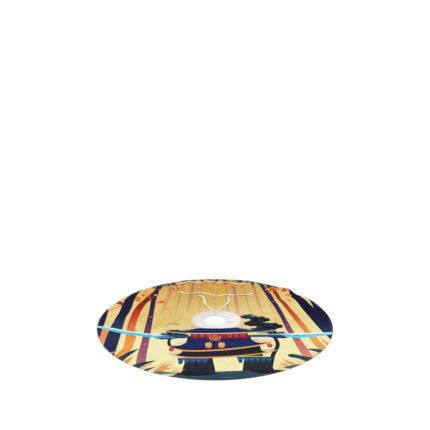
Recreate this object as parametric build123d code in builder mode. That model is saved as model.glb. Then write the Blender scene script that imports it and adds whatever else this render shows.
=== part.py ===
"""Round Christmas tree skirt, 1.22 m across, lying flat.

A printed face, a thin wadding and a white lining are cut as one disc with a trunk hole in the middle
and a slit at the back, edged underneath with facing tape and topstitched. Three pairs of ribbon ties
are sewn into the slit. The two back corners beside the slit fold up along radial lines, so that the
skirt can be opened and passed round a trunk, and each ribbon swings about its sewn end.

Frame: +Z up, origin on the floor plane at the centre of the trunk hole, slit towards +Y.
All lengths are in millimetres.
"""

import os
from math import cos, radians, sin, tan

from build123d import *

os.makedirs("parts", exist_ok=True)

# ---------------------------------------------------------------- driving dimensions
SKIRT_R = 610.0  # outside radius: a 48 in skirt
HOLE_R = 60.0  # trunk hole radius
SLIT_GAP = 2.0  # the two hemmed edges of the slit lie this far apart
FLAP_DEG = 36.0  # each opening flap is this sector, counted from the slit

FACING_T = 0.5  # facing tape, the lowest layer
LINING_T = 0.6  # white woven lining
WADDING_T = 1.2  # thin wadding between lining and face
FACE_T = 0.8  # printed brushed polyester
THREAD_H = 0.3  # how far a stitch row stands above the face
THREAD_W = 0.7  # width of a stitch row

FACING_W = 13.0  # width of the facing tape
STITCH_IN = 6.5  # stitch row's distance from a finished edge
FOLD_CLEAR = 4.0  # stitch rows stop this far short of a fold line

TIE_W = 12.0  # ribbon width
TIE_T = 0.6  # ribbon thickness
TIE_LIFT = 0.7  # a loose ribbon lies this far above the face
TIE_ROOT_X = 1.5  # fold of a ribbon, from the slit's centre line
TAB_L = 15.0  # length of a ribbon's sewn-in end
TIE_OFFSET = 8.0  # left ribbons sit this far out, right ribbons this far in, of each station
STATIONS = (110.0, 335.0, 556.0)  # ribbon stations along the slit, from the centre

# ---------------------------------------------------------------- layer heights
Z_LINING = FACING_T
Z_WADDING = Z_LINING + LINING_T
Z_FACE = Z_WADDING + WADDING_T
Z_TOP = Z_FACE + FACE_T
Z_TIE = Z_TOP + TIE_LIFT

HALF_GAP = SLIT_GAP / 2
FAR = 1200.0
fold = radians(FLAP_DEG)
# A point far out along each fold line, and where the left fold line meets the left slit edge.
FOLD_L = (-FAR * sin(fold), FAR * cos(fold))
FOLD_R = (FAR * sin(fold), FAR * cos(fold))
APEX_Y = HALF_GAP / tan(fold)
# The fold line moved towards the flap (+) or the main panel (-) by FOLD_CLEAR.
SHIFT_X = FOLD_CLEAR * cos(fold)
SHIFT_Y = FOLD_CLEAR * sin(fold)
ROW_IN = STITCH_IN - THREAD_W / 2
ROW_OUT = STITCH_IN + THREAD_W / 2

# ================================================================ main panel, body "main_panel"
with BuildPart() as face_panel:
    with BuildSketch(Plane.XY.offset(Z_FACE)) as face_panel_outline:
        Circle(SKIRT_R)
        Circle(HOLE_R, mode=Mode.SUBTRACT)
        with BuildLine():
            Polyline((0, 0), FOLD_R, FOLD_L, close=True)
        make_face(mode=Mode.SUBTRACT)
    extrude(amount=FACE_T)
face_panel.part.label = "face_panel"
export_step(face_panel.part, "parts/face_panel.step")

with BuildPart() as wadding_panel:
    with BuildSketch(Plane.XY.offset(Z_WADDING)) as wadding_panel_outline:
        Circle(SKIRT_R)
        Circle(HOLE_R, mode=Mode.SUBTRACT)
        with BuildLine():
            Polyline((0, 0), FOLD_R, FOLD_L, close=True)
        make_face(mode=Mode.SUBTRACT)
    extrude(amount=WADDING_T)
wadding_panel.part.label = "wadding_panel"
export_step(wadding_panel.part, "parts/wadding_panel.step")

with BuildPart() as lining_panel:
    with BuildSketch(Plane.XY.offset(Z_LINING)) as lining_panel_outline:
        Circle(SKIRT_R)
        Circle(HOLE_R, mode=Mode.SUBTRACT)
        with BuildLine():
            Polyline((0, 0), FOLD_R, FOLD_L, close=True)
        make_face(mode=Mode.SUBTRACT)
    extrude(amount=LINING_T)
lining_panel.part.label = "lining_panel"
export_step(lining_panel.part, "parts/lining_panel.step")

with BuildPart() as rim_facing:
    with BuildSketch() as rim_facing_outline:
        Circle(SKIRT_R)
        Circle(SKIRT_R - FACING_W, mode=Mode.SUBTRACT)
        with BuildLine():
            Polyline((0, 0), FOLD_R, FOLD_L, close=True)
        make_face(mode=Mode.SUBTRACT)
    extrude(amount=FACING_T)
rim_facing.part.label = "rim_facing"
export_step(rim_facing.part, "parts/rim_facing.step")

with BuildPart() as centre_facing:
    with BuildSketch() as centre_facing_outline:
        Circle(HOLE_R + FACING_W)
        Circle(HOLE_R, mode=Mode.SUBTRACT)
        with BuildLine():
            Polyline((0, 0), FOLD_R, FOLD_L, close=True)
        make_face(mode=Mode.SUBTRACT)
    extrude(amount=FACING_T)
centre_facing.part.label = "centre_facing"
export_step(centre_facing.part, "parts/centre_facing.step")

with BuildPart() as rim_topstitch:
    with BuildSketch(Plane.XY.offset(Z_TOP)) as rim_topstitch_outline:
        Circle(SKIRT_R - ROW_IN)
        Circle(SKIRT_R - ROW_OUT, mode=Mode.SUBTRACT)
        with BuildLine():
            Polyline(
                (0, -FOLD_CLEAR / sin(fold)),
                (FOLD_R[0] + SHIFT_X, FOLD_R[1] - SHIFT_Y),
                (FOLD_L[0] - SHIFT_X, FOLD_L[1] - SHIFT_Y),
                close=True,
            )
        make_face(mode=Mode.SUBTRACT)
    extrude(amount=THREAD_H)
rim_topstitch.part.label = "rim_topstitch"
export_step(rim_topstitch.part, "parts/rim_topstitch.step")

with BuildPart() as centre_topstitch:
    with BuildSketch(Plane.XY.offset(Z_TOP)) as centre_topstitch_outline:
        Circle(HOLE_R + ROW_OUT)
        Circle(HOLE_R + ROW_IN, mode=Mode.SUBTRACT)
        with BuildLine():
            Polyline(
                (0, -FOLD_CLEAR / sin(fold)),
                (FOLD_R[0] + SHIFT_X, FOLD_R[1] - SHIFT_Y),
                (FOLD_L[0] - SHIFT_X, FOLD_L[1] - SHIFT_Y),
                close=True,
            )
        make_face(mode=Mode.SUBTRACT)
    extrude(amount=THREAD_H)
centre_topstitch.part.label = "centre_topstitch"
export_step(centre_topstitch.part, "parts/centre_topstitch.step")

# ================================================================ left flap, body "left_flap"
# The sector between the slit's left edge and the left fold line.
with BuildPart() as left_flap_face:
    with BuildSketch(Plane.XY.offset(Z_FACE)) as left_flap_face_outline:
        Circle(SKIRT_R)
        Circle(HOLE_R, mode=Mode.SUBTRACT)
        with BuildLine():
            Polyline((-HALF_GAP, APEX_Y), (-HALF_GAP, FOLD_L[1]), FOLD_L, close=True)
        make_face(mode=Mode.INTERSECT)
    extrude(amount=FACE_T)
left_flap_face.part.label = "left_flap_face"
export_step(left_flap_face.part, "parts/left_flap_face.step")

with BuildPart() as left_flap_wadding:
    with BuildSketch(Plane.XY.offset(Z_WADDING)) as left_flap_wadding_outline:
        Circle(SKIRT_R)
        Circle(HOLE_R, mode=Mode.SUBTRACT)
        with BuildLine():
            Polyline((-HALF_GAP, APEX_Y), (-HALF_GAP, FOLD_L[1]), FOLD_L, close=True)
        make_face(mode=Mode.INTERSECT)
    extrude(amount=WADDING_T)
    # Room for the ribbons' sewn-in ends.
    with BuildSketch(Plane.XY.offset(Z_WADDING)) as left_flap_pockets:
        for station in STATIONS:
            with Locations((-HALF_GAP - TAB_L / 2, station + TIE_OFFSET)):
                Rectangle(TAB_L, TIE_W)
    extrude(amount=TIE_T, mode=Mode.SUBTRACT)
left_flap_wadding.part.label = "left_flap_wadding"
export_step(left_flap_wadding.part, "parts/left_flap_wadding.step")

with BuildPart() as left_flap_lining:
    with BuildSketch(Plane.XY.offset(Z_LINING)) as left_flap_lining_outline:
        Circle(SKIRT_R)
        Circle(HOLE_R, mode=Mode.SUBTRACT)
        with BuildLine():
            Polyline((-HALF_GAP, APEX_Y), (-HALF_GAP, FOLD_L[1]), FOLD_L, close=True)
        make_face(mode=Mode.INTERSECT)
    extrude(amount=LINING_T)
left_flap_lining.part.label = "left_flap_lining"
export_step(left_flap_lining.part, "parts/left_flap_lining.step")

with BuildPart() as left_rim_facing:
    with BuildSketch() as left_rim_facing_outline:
        Circle(SKIRT_R)
        Circle(SKIRT_R - FACING_W, mode=Mode.SUBTRACT)
        with BuildLine():
            Polyline(
                (-HALF_GAP - FACING_W, (HALF_GAP + FACING_W) / tan(fold)),
                (-HALF_GAP - FACING_W, FOLD_L[1]),
                FOLD_L,
                close=True,
            )
        make_face(mode=Mode.INTERSECT)
    extrude(amount=FACING_T)
left_rim_facing.part.label = "left_rim_facing"
export_step(left_rim_facing.part, "parts/left_rim_facing.step")

with BuildPart() as left_centre_facing:
    with BuildSketch() as left_centre_facing_outline:
        Circle(HOLE_R + FACING_W)
        Circle(HOLE_R, mode=Mode.SUBTRACT)
        with BuildLine():
            Polyline(
                (-HALF_GAP - FACING_W, (HALF_GAP + FACING_W) / tan(fold)),
                (-HALF_GAP - FACING_W, FOLD_L[1]),
                FOLD_L,
                close=True,
            )
        make_face(mode=Mode.INTERSECT)
    extrude(amount=FACING_T)
left_centre_facing.part.label = "left_centre_facing"
export_step(left_centre_facing.part, "parts/left_centre_facing.step")

with BuildPart() as left_slit_facing:
    with BuildSketch() as left_slit_facing_outline:
        Circle(SKIRT_R)
        Circle(HOLE_R, mode=Mode.SUBTRACT)
        with Locations((-HALF_GAP - FACING_W / 2, SKIRT_R / 2)):
            Rectangle(FACING_W, SKIRT_R + 2, mode=Mode.INTERSECT)
    extrude(amount=FACING_T)
left_slit_facing.part.label = "left_slit_facing"
export_step(left_slit_facing.part, "parts/left_slit_facing.step")

with BuildPart() as left_topstitch:
    # One row runs round the hole, along the slit and round the rim.
    with BuildSketch(Plane.XY.offset(Z_TOP)) as left_topstitch_outline:
        Circle(SKIRT_R - ROW_IN)
        Circle(SKIRT_R - ROW_OUT, mode=Mode.SUBTRACT)
        Circle(HOLE_R + ROW_OUT)
        Circle(HOLE_R + ROW_IN, mode=Mode.SUBTRACT)
        row_y0 = HOLE_R + STITCH_IN - 0.4
        row_y1 = SKIRT_R - STITCH_IN - 0.1
        with Locations((-HALF_GAP - STITCH_IN, (row_y0 + row_y1) / 2)):
            Rectangle(THREAD_W, row_y1 - row_y0)
        with BuildLine():
            Polyline(
                (-HALF_GAP - ROW_IN, (HALF_GAP + ROW_IN + SHIFT_X) / tan(fold) + SHIFT_Y),
                (-HALF_GAP - ROW_IN, FOLD_L[1] + SHIFT_Y),
                (FOLD_L[0] + SHIFT_X, FOLD_L[1] + SHIFT_Y),
                close=True,
            )
        make_face(mode=Mode.INTERSECT)
    extrude(amount=THREAD_H)
left_topstitch.part.label = "left_topstitch"
export_step(left_topstitch.part, "parts/left_topstitch.step")

with BuildPart() as left_tie_ends:
    # The sewn-in end of each ribbon, and its short rise round the slit edge.
    with BuildSketch(Plane.XY.offset(Z_WADDING)) as left_tie_tabs:
        for station in STATIONS:
            with Locations((-HALF_GAP - TAB_L / 2 + 0.3, station + TIE_OFFSET)):
                Rectangle(TAB_L + 0.6, TIE_W)
    extrude(amount=TIE_T)
    with BuildSketch(Plane.XY.offset(Z_WADDING)) as left_tie_rises:
        for station in STATIONS:
            with Locations((-HALF_GAP + 0.3, station + TIE_OFFSET)):
                Rectangle(0.6, TIE_W)
    extrude(amount=Z_TOP - Z_WADDING)
left_tie_ends.part.label = "left_tie_ends"
export_step(left_tie_ends.part, "parts/left_tie_ends.step")

with BuildPart() as left_bartacks:
    with BuildSketch(Plane.XY.offset(Z_TOP)) as left_bartack_outline:
        for station in STATIONS:
            with Locations((-HALF_GAP - 2.6, station + TIE_OFFSET)):
                RectangleRounded(1.8, TIE_W - 2, 0.8)
    extrude(amount=THREAD_H)
left_bartacks.part.label = "left_bartacks"
export_step(left_bartacks.part, "parts/left_bartacks.step")

# ================================================================ right flap, body "right_flap"
with BuildPart() as right_flap_face:
    mirror(left_flap_face.part, about=Plane.YZ)
right_flap_face.part.label = "right_flap_face"
export_step(right_flap_face.part, "parts/right_flap_face.step")

with BuildPart() as right_flap_wadding:
    with BuildSketch(Plane.XY.offset(Z_WADDING)) as right_flap_wadding_outline:
        Circle(SKIRT_R)
        Circle(HOLE_R, mode=Mode.SUBTRACT)
        with BuildLine():
            Polyline((HALF_GAP, APEX_Y), (HALF_GAP, FOLD_R[1]), FOLD_R, close=True)
        make_face(mode=Mode.INTERSECT)
    extrude(amount=WADDING_T)
    with BuildSketch(Plane.XY.offset(Z_WADDING)) as right_flap_pockets:
        for station in STATIONS:
            with Locations((HALF_GAP + TAB_L / 2, station - TIE_OFFSET)):
                Rectangle(TAB_L, TIE_W)
    extrude(amount=TIE_T, mode=Mode.SUBTRACT)
right_flap_wadding.part.label = "right_flap_wadding"
export_step(right_flap_wadding.part, "parts/right_flap_wadding.step")

with BuildPart() as right_flap_lining:
    mirror(left_flap_lining.part, about=Plane.YZ)
right_flap_lining.part.label = "right_flap_lining"
export_step(right_flap_lining.part, "parts/right_flap_lining.step")

with BuildPart() as right_rim_facing:
    mirror(left_rim_facing.part, about=Plane.YZ)
right_rim_facing.part.label = "right_rim_facing"
export_step(right_rim_facing.part, "parts/right_rim_facing.step")

with BuildPart() as right_centre_facing:
    mirror(left_centre_facing.part, about=Plane.YZ)
right_centre_facing.part.label = "right_centre_facing"
export_step(right_centre_facing.part, "parts/right_centre_facing.step")

with BuildPart() as right_slit_facing:
    mirror(left_slit_facing.part, about=Plane.YZ)
right_slit_facing.part.label = "right_slit_facing"
export_step(right_slit_facing.part, "parts/right_slit_facing.step")

with BuildPart() as right_topstitch:
    mirror(left_topstitch.part, about=Plane.YZ)
right_topstitch.part.label = "right_topstitch"
export_step(right_topstitch.part, "parts/right_topstitch.step")

with BuildPart() as right_tie_ends:
    with BuildSketch(Plane.XY.offset(Z_WADDING)) as right_tie_tabs:
        for station in STATIONS:
            with Locations((HALF_GAP + TAB_L / 2 - 0.3, station - TIE_OFFSET)):
                Rectangle(TAB_L + 0.6, TIE_W)
    extrude(amount=TIE_T)
    with BuildSketch(Plane.XY.offset(Z_WADDING)) as right_tie_rises:
        for station in STATIONS:
            with Locations((HALF_GAP - 0.3, station - TIE_OFFSET)):
                Rectangle(0.6, TIE_W)
    extrude(amount=Z_TOP - Z_WADDING)
right_tie_ends.part.label = "right_tie_ends"
export_step(right_tie_ends.part, "parts/right_tie_ends.step")

with BuildPart() as right_bartacks:
    with BuildSketch(Plane.XY.offset(Z_TOP)) as right_bartack_outline:
        for station in STATIONS:
            with Locations((HALF_GAP + 2.6, station - TIE_OFFSET)):
                RectangleRounded(1.8, TIE_W - 2, 0.8)
    extrude(amount=THREAD_H)
right_bartacks.part.label = "right_bartacks"
export_step(right_bartacks.part, "parts/right_bartacks.step")

# ================================================================ ribbon ties, one body each
# Each loose ribbon is a flat strip along a gently curved line on its own flap. Its first point lies
# past the slit edge, and the strip is cut along the fold at the slit, where it hinges.
TIE_LINES = {
    "left_inner_tie": [(7, 108), (-50, 186), (-60, 284), (-92, 338)],
    "left_middle_tie": [(7, 337), (-70, 372), (-150, 358), (-214, 392)],
    "left_outer_tie": [(7, 566), (-76, 545), (-150, 549), (-220, 516)],
    "right_inner_tie": [(-7, 94), (40, 156), (79, 232), (76, 306)],
    "right_middle_tie": [(-7, 325), (75, 349), (150, 334), (222, 366)],
    "right_outer_tie": [(-7, 549), (80, 545), (152, 516), (216, 528)],
}

for tie_name, points in TIE_LINES.items():
    side = -1 if tie_name.startswith("left") else 1
    runs = [Vector(*b) - Vector(*a) for a, b in zip(points, points[1:])]
    turns = [a.get_angle(b) for a, b in zip(runs, runs[1:])]
    radii = [
        0.45 * min(a.length, b.length) / tan(radians(turn) / 2)
        for a, b, turn in zip(runs, runs[1:], turns)
    ]
    print(tie_name, "bend radii", [round(r) for r in radii])
    with BuildPart() as tie:
        with BuildSketch(Plane.XY.offset(Z_TIE)) as tie_outline:
            with BuildLine() as tie_line:
                FilletPolyline(*points, radius=radii)
            trace(line_width=TIE_W)
            with Locations((side * (TIE_ROOT_X + 200), 335)):
                Rectangle(400, 800, mode=Mode.INTERSECT)
        extrude(amount=TIE_T)
    print(tie_name, "flat length", round(tie.part.volume / TIE_T / TIE_W, 1))
    tie.part.label = tie_name
    export_step(tie.part, f"parts/{tie_name}.step")
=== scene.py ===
"""Looks of the tree skirt: printed cloth face, wadding, lining, facing tapes, stitching and ribbon ties,
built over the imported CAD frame. Metres, +Z up, origin on the floor at the centre of the trunk hole."""

import bmesh
import bpy
import math
import random

import numpy as np
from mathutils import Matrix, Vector
from mathutils.geometry import delaunay_2d_cdt


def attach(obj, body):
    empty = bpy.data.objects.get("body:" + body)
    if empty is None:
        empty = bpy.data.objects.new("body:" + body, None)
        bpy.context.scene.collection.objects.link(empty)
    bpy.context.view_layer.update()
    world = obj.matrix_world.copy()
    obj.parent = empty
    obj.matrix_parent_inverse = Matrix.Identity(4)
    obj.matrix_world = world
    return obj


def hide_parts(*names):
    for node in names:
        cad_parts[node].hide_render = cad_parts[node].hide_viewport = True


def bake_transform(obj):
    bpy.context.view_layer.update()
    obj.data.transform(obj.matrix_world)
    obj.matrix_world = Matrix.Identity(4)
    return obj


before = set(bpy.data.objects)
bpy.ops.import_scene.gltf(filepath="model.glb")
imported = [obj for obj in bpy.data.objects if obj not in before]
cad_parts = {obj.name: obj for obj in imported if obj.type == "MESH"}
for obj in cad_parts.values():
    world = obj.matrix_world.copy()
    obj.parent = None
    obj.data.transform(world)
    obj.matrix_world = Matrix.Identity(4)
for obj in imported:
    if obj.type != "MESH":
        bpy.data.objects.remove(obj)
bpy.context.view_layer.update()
random.seed(20)

# ------------------------------------------------------------------ dimensions, as in the CAD model
MM = 0.001
R_OUT = 609.6 * MM  # outermost point of the rolled rim
R_HOLE = 60.3 * MM  # innermost point of the rolled trunk hole edge
GAP = 1.15 * MM  # the slit's edges stand this far from its centre line
Z_FACE = 3.1 * MM
FOLD = math.radians(36)
STITCH_IN = 6.5 * MM
STATIONS = (0.110, 0.335, 0.556)
TIE_OFFSET = 0.008
BEND = 0.040  # close mesh lines cover this much width beside a fold line


def smooth(t):
    t = np.clip(t, 0.0, 1.0)
    return t * t * (3 - 2 * t)


# The skirt lies all but flat: one soft wave at the right back rim, a lower one beside it, and faint
# swells. Every layer follows the same ground.
def height(x, y):
    x, y = np.asarray(x, float), np.asarray(y, float)
    r = np.hypot(x, y)
    a = np.degrees(np.arctan2(y, x))

    def bump(centre, width, inner, high):
        turn = (a - centre + 180) % 360 - 180
        return high * np.exp(-((turn / width) ** 2)) * smooth((r - inner) / (0.61 - inner)) ** 1.3

    h = bump(44.5, 5.0, 0.42, 0.0098)
    h = h + bump(22, 7.0, 0.46, 0.0022)
    h = h + bump(141, 8.0, 0.44, 0.0034)
    h = h + bump(196, 10.0, 0.48, 0.0012)
    h = h + bump(72, 6.0, 0.45, 0.0026)
    h = h + bump(108, 6.0, 0.47, 0.0030)
    inside = 1 - smooth((r - 0.42) / 0.17)
    outside_hole = smooth((r - 0.06) / 0.07)
    swell = (
        0.5
        + 0.22 * np.sin(9.0 * x + 3.1 * y + 0.6)
        + 0.16 * np.sin(-6.5 * x + 11.0 * y + 2.1)
        + 0.12 * np.sin(17.0 * x - 8.0 * y + 4.4)
    )
    # The stitched edges of the slit hold the cloth flat beside it.
    beside_slit = np.where(y > 0, 1 - np.exp(-((x / 0.060) ** 2)), 1 - np.exp(-((x / 0.060) ** 2)) * np.exp(-((y / 0.06) ** 2)))
    h = h + 0.0019 * swell * inside * outside_hole * beside_slit
    return h


def settle(p):
    """Where a point of the flat cut comes to lie: beside its waves the rim is drawn in a little."""
    x, y = p[:, 0], p[:, 1]
    r = np.hypot(x, y)
    a = np.degrees(np.arctan2(y, x))
    draw = 0.015 * np.exp(-(((a - 37) / 4.5) ** 2)) + 0.006 * np.exp(-(((a - 142) / 7.0) ** 2)) + 0.004 * np.exp(-(((a - 160) / 6.0) ** 2)) + 0.003 * np.exp(-(((a - 18) / 7.0) ** 2))
    k = 1 - draw * smooth((r - 0.36) / 0.25) / np.maximum(r, 0.1)
    out = np.array(p, float)
    out[:, 0] *= k
    out[:, 1] *= k
    return out


def edge_distance(x, y):
    """How far a point of the cloth lies from the nearest finished edge."""
    x, y = np.asarray(x, float), np.asarray(y, float)
    r = np.hypot(x, y)
    slit = np.where(y > 0, np.abs(x) - GAP, 9.0)
    return np.maximum(0, np.minimum(np.minimum(R_OUT - r, r - R_HOLE), slit))


RINGS = [d * MM for d in (0.35, 1.0, 2.2, 4.0, 5.6, 6.5, 7.4, 9.2, 13.0)]
PROFILE_D = [d * MM for d in (0, 0.35, 1.0, 2.2, 4.0, 5.6, 6.5, 7.4, 9.2, 13.0)]
PROFILE_Z = [z * MM for z in (1.75, 2.42, 2.82, 3.10, 3.20, 2.98, 2.62, 2.98, 3.22, 3.10)]


def face_z(x, y):
    return np.interp(edge_distance(x, y), PROFILE_D, PROFILE_Z) + height(x, y)


# ------------------------------------------------------------------ colours
def rgb(text):
    return np.array([int(text[i : i + 2], 16) / 255 for i in (0, 2, 4)])


def linear(c):
    c = np.clip(np.asarray(c, float), 0, 1)
    return np.where(c <= 0.04045, c / 12.92, ((c + 0.055) / 1.055) ** 2.4)


def ink(c):
    """Share of light the printed cloth returns: cloth is never as bright as paper white."""
    return np.maximum(linear(c) - 0.0065, 0.0012) * 0.69


CREAM, PALE = rgb("F5EFB9"), rgb("F8F2C4")
GOLD, DEEP_GOLD, AMBER = rgb("E0BB66"), rgb("CD9744"), rgb("E39D48")
NAVY, NAVY_LOW, NAVY_HIGH = rgb("1F1B3A"), rgb("262C52"), rgb("2E2848")
PURPLE, MAUVE, ROSE = rgb("38254A"), rgb("8E4A66"), rgb("B66A73")
DARK_RED, RED, ORANGE = rgb("7E1813"), rgb("D44F2C"), rgb("F29A45")
TEAL, TEAL_DARK, GREEN = rgb("24474C"), rgb("1B3A42"), rgb("3B8070")
GROUND, GROUND_LOW = rgb("3A5060"), rgb("2A444E")
CYAN, BLUE, DEEP_BLUE, MIST = rgb("49D3EE"), rgb("2A86C6"), rgb("173F86"), rgb("EDF8F6")
CRIMSON, WINE, TRIM, COAL = rgb("B4263F"), rgb("7C1732"), rgb("F3AE6A"), rgb("211E29")
MOON = rgb("F0EFEC")


# ------------------------------------------------------------------ the printed scene
# Shapes are drawn over each other, later ones on top. Each is an outline in the plane of the cloth
# and a colour that may change along a line.
shapes = []


def curve(points, closed=False, step=0.007):
    """Catmull-Rom line through points of any dimension, sampled evenly enough for the print."""
    p = np.array(points, float)
    n = len(p)
    out = []
    for i in range(n if closed else n - 1):
        a, b, c, d = (
            (p[(i - 1) % n], p[i], p[(i + 1) % n], p[(i + 2) % n])
            if closed
            else (p[max(i - 1, 0)], p[i], p[i + 1], p[min(i + 2, n - 1)])
        )
        k = max(2, int(math.ceil(np.linalg.norm((c - b)[:2]) / step)))
        for j in range(k):
            t = j / k
            out.append(
                0.5
                * (
                    2 * b
                    + (c - a) * t
                    + (2 * a - 5 * b + 4 * c - d) * t * t
                    + (3 * b - a - 3 * c + d) * t**3
                )
            )
    if not closed:
        out.append(p[-1])
    return np.array(out)


def resample(points, step=0.008):
    """Straight-sided outline with points along its sides."""
    p = np.array(points, float)
    out = []
    for i in range(len(p)):
        a, b = p[i], p[(i + 1) % len(p)]
        k = max(1, int(math.ceil(np.linalg.norm(b - a) / step)))
        out.extend(a + (b - a) * j / k for j in range(k))
    return np.array(out)


def add(outline, colour, line=None, soft=0.0):
    """colour is one colour, or stops [(t, colour), ...] along line = (start, end)."""
    outline = np.array(outline, float)[:, :2]
    area = 0.5 * np.sum(
        outline[:, 0] * np.roll(outline[:, 1], -1) - np.roll(outline[:, 0], -1) * outline[:, 1]
    )
    if abs(area) < 1e-7:
        return
    if area < 0:
        outline = outline[::-1]
    shapes.append({"outline": outline, "colour": colour, "line": line, "soft": soft})


def blob(points, colour, line=None, step=0.006):
    add(curve(points, closed=True, step=step), colour, line)


def poly(points, colour, line=None):
    add(resample(points), colour, line)


def strip(path, colour, line=None, step=0.007):
    """Tapering brush stroke: path is (x, y, width) points."""
    c = curve(path, step=step)
    w = np.maximum(c[:, 2], 0.0004)
    t = np.gradient(c[:, :2], axis=0)
    t /= np.linalg.norm(t, axis=1)[:, None] + 1e-12
    n = np.stack([-t[:, 1], t[:, 0]], 1)
    outline = np.vstack([c[:, :2] + n * w[:, None] / 2, (c[:, :2] - n * w[:, None] / 2)[::-1]])
    add(outline, colour, line or (path[0][:2], path[-1][:2]))


def between(left, right, colour, line=None):
    """A trunk: the area between its left edge and its right edge, both from top to bottom."""
    a, b = curve(left), curve(right)
    add(np.vstack([a, b[::-1]]), colour, line or (left[0], left[-1]))


def mix(a, b, t):
    return a + (b - a) * t


def background(x, y):
    """Cream low down, golden towards the middle and the back."""
    r = np.hypot(x, y)
    up = smooth((y + 0.27) / 0.30)
    near = 0.34 + 0.66 * np.exp(-(((x + 0.06) / 0.40) ** 2) * 1.2)
    g = np.clip(up * near, 0, 1)[:, None]
    c = CREAM + (GOLD - CREAM) * g
    far = (smooth((y - 0.12) / 0.40) * np.exp(-((x / 0.42) ** 2)))[:, None]
    c = c + (DEEP_GOLD - c) * far * 0.75
    glow = np.exp(-(((x - 0.02) / 0.20) ** 2 + ((y - 0.02) / 0.16) ** 2))[:, None]
    c = c + (PALE - c) * glow * 0.55
    rim = smooth((r - 0.48) / 0.13)[:, None] * smooth((y - 0.1) / 0.3)[:, None]
    return c + (AMBER - c) * rim * 0.25


def bg_at(x, y):
    return background(np.array([float(x)]), np.array([float(y)]))[0]


# Broad soft brush marks on the background.
for k in range(150):
    x, y = random.uniform(-0.58, 0.58), random.uniform(-0.5, 0.58)
    r = math.hypot(x, y)
    if r > 0.57 or r < 0.08:
        continue
    length, width = random.uniform(0.03, 0.10), random.uniform(0.004, 0.013)
    lean = math.radians(random.uniform(52, 82) if x < 0 else random.uniform(98, 128))
    if random.random() < 0.3:
        lean = math.radians(random.uniform(5, 30))
    dx, dy = math.cos(lean) * length / 2, math.sin(lean) * length / 2
    bend = random.uniform(-0.006, 0.006)
    here = bg_at(x, y)
    to = random.choice([PALE, GOLD, GOLD, AMBER]) if y > -0.2 else random.choice([PALE, PALE, GOLD])
    strength = random.uniform(0.10, 0.38) * (1.0 if y > -0.15 else 0.55)
    strip(
        [(x - dx, y - dy, 0.001), (x + bend, y, width), (x + dx, y + dy, 0.001)],
        [(0, mix(here, to, strength * 0.6)), (0.5, mix(here, to, strength)), (1, mix(here, to, strength * 0.7))],
    )

# Far trunks, pale in the haze, behind everything else at the back.
for x0, x1, w, depth in [
    (-0.285, -0.245, 0.018, 0.50), (-0.215, -0.190, 0.012, 0.34), (-0.150, -0.128, 0.020, 0.58),
    (-0.085, -0.080, 0.011, 0.36), (0.070, 0.066, 0.013, 0.42), (0.125, 0.108, 0.021, 0.60),
    (0.190, 0.168, 0.012, 0.36), (0.255, 0.222, 0.017, 0.48), (0.318, 0.285, 0.012, 0.34),
]:
    low = random.uniform(0.02, 0.10)
    a, b = mix(bg_at(x1, 0.45), MAUVE, depth), mix(bg_at(x0, 0.1), ROSE, depth * 0.45)
    strip(
        [(x1, 0.63, w * 0.9), (mix(x1, x0, 0.5), 0.36, w), (x0, low, w * 1.15)],
        [(0, a), (0.6, mix(a, b, 0.5)), (1, mix(b, bg_at(x0, low), 0.75))],
    )

# Golden light and orange leaf brushwork between the trunks.
for path, c, s in [
    ([(-0.33, 0.22, 0.006), (-0.280, 0.285, 0.022), (-0.230, 0.350, 0.004)], ORANGE, 0.6),
    ([(-0.31, 0.10, 0.003), (-0.26, 0.15, 0.030), (-0.20, 0.17, 0.004)], AMBER, 0.6),
    ([(-0.404, 0.036, 0.008), (-0.384, 0.060, 0.013), (-0.362, 0.080, 0.008)], AMBER, 0.9),
    ([(-0.40, -0.03, 0.003), (-0.38, -0.02, 0.014), (-0.362, -0.012, 0.003)], GOLD, 0.9),
    ([(0.428, 0.066, 0.003), (0.446, 0.074, 0.012), (0.466, 0.090, 0.003)], AMBER, 0.7),
    ([(0.396, -0.020, 0.002), (0.412, -0.004, 0.014), (0.424, 0.020, 0.002)], AMBER, 0.6),
    ([(0.30, -0.04, 0.004), (0.325, 0.0, 0.022), (0.335, 0.05, 0.004)], GOLD, 0.5),
]:
    here = bg_at(path[1][0], path[1][1])
    strip(path, [(0, mix(here, c, s * 0.6)), (0.5, mix(here, c, s)), (1, mix(here, c, s * 0.5))])
rng = random.Random(31)
for cx, cy, w, h, count, k in [(-0.286, -0.050, 0.040, 0.075, 16, 0.30), (-0.262, 0.075, 0.036, 0.050, 9, 0.22), (-0.225, -0.020, 0.036, 0.060, 9, 0.18)]:
    for _ in range(count):
        x, y = cx + rng.uniform(-w, w), cy + rng.uniform(-h, h) * 0.6
        size = rng.uniform(0.025, 0.055)
        here = bg_at(x, y)
        tone = mix(here, rng.choice([AMBER, AMBER, GOLD, DEEP_GOLD]), k * rng.uniform(0.5, 1.2))
        strip([(x - size * 0.20, y - size, 0.003), (x, y, rng.uniform(0.012, 0.024)), (x + size * 0.24, y + size, 0.003)], [(0, mix(here, tone, 0.5)), (0.5, tone), (1, mix(here, tone, 0.6))])

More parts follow.
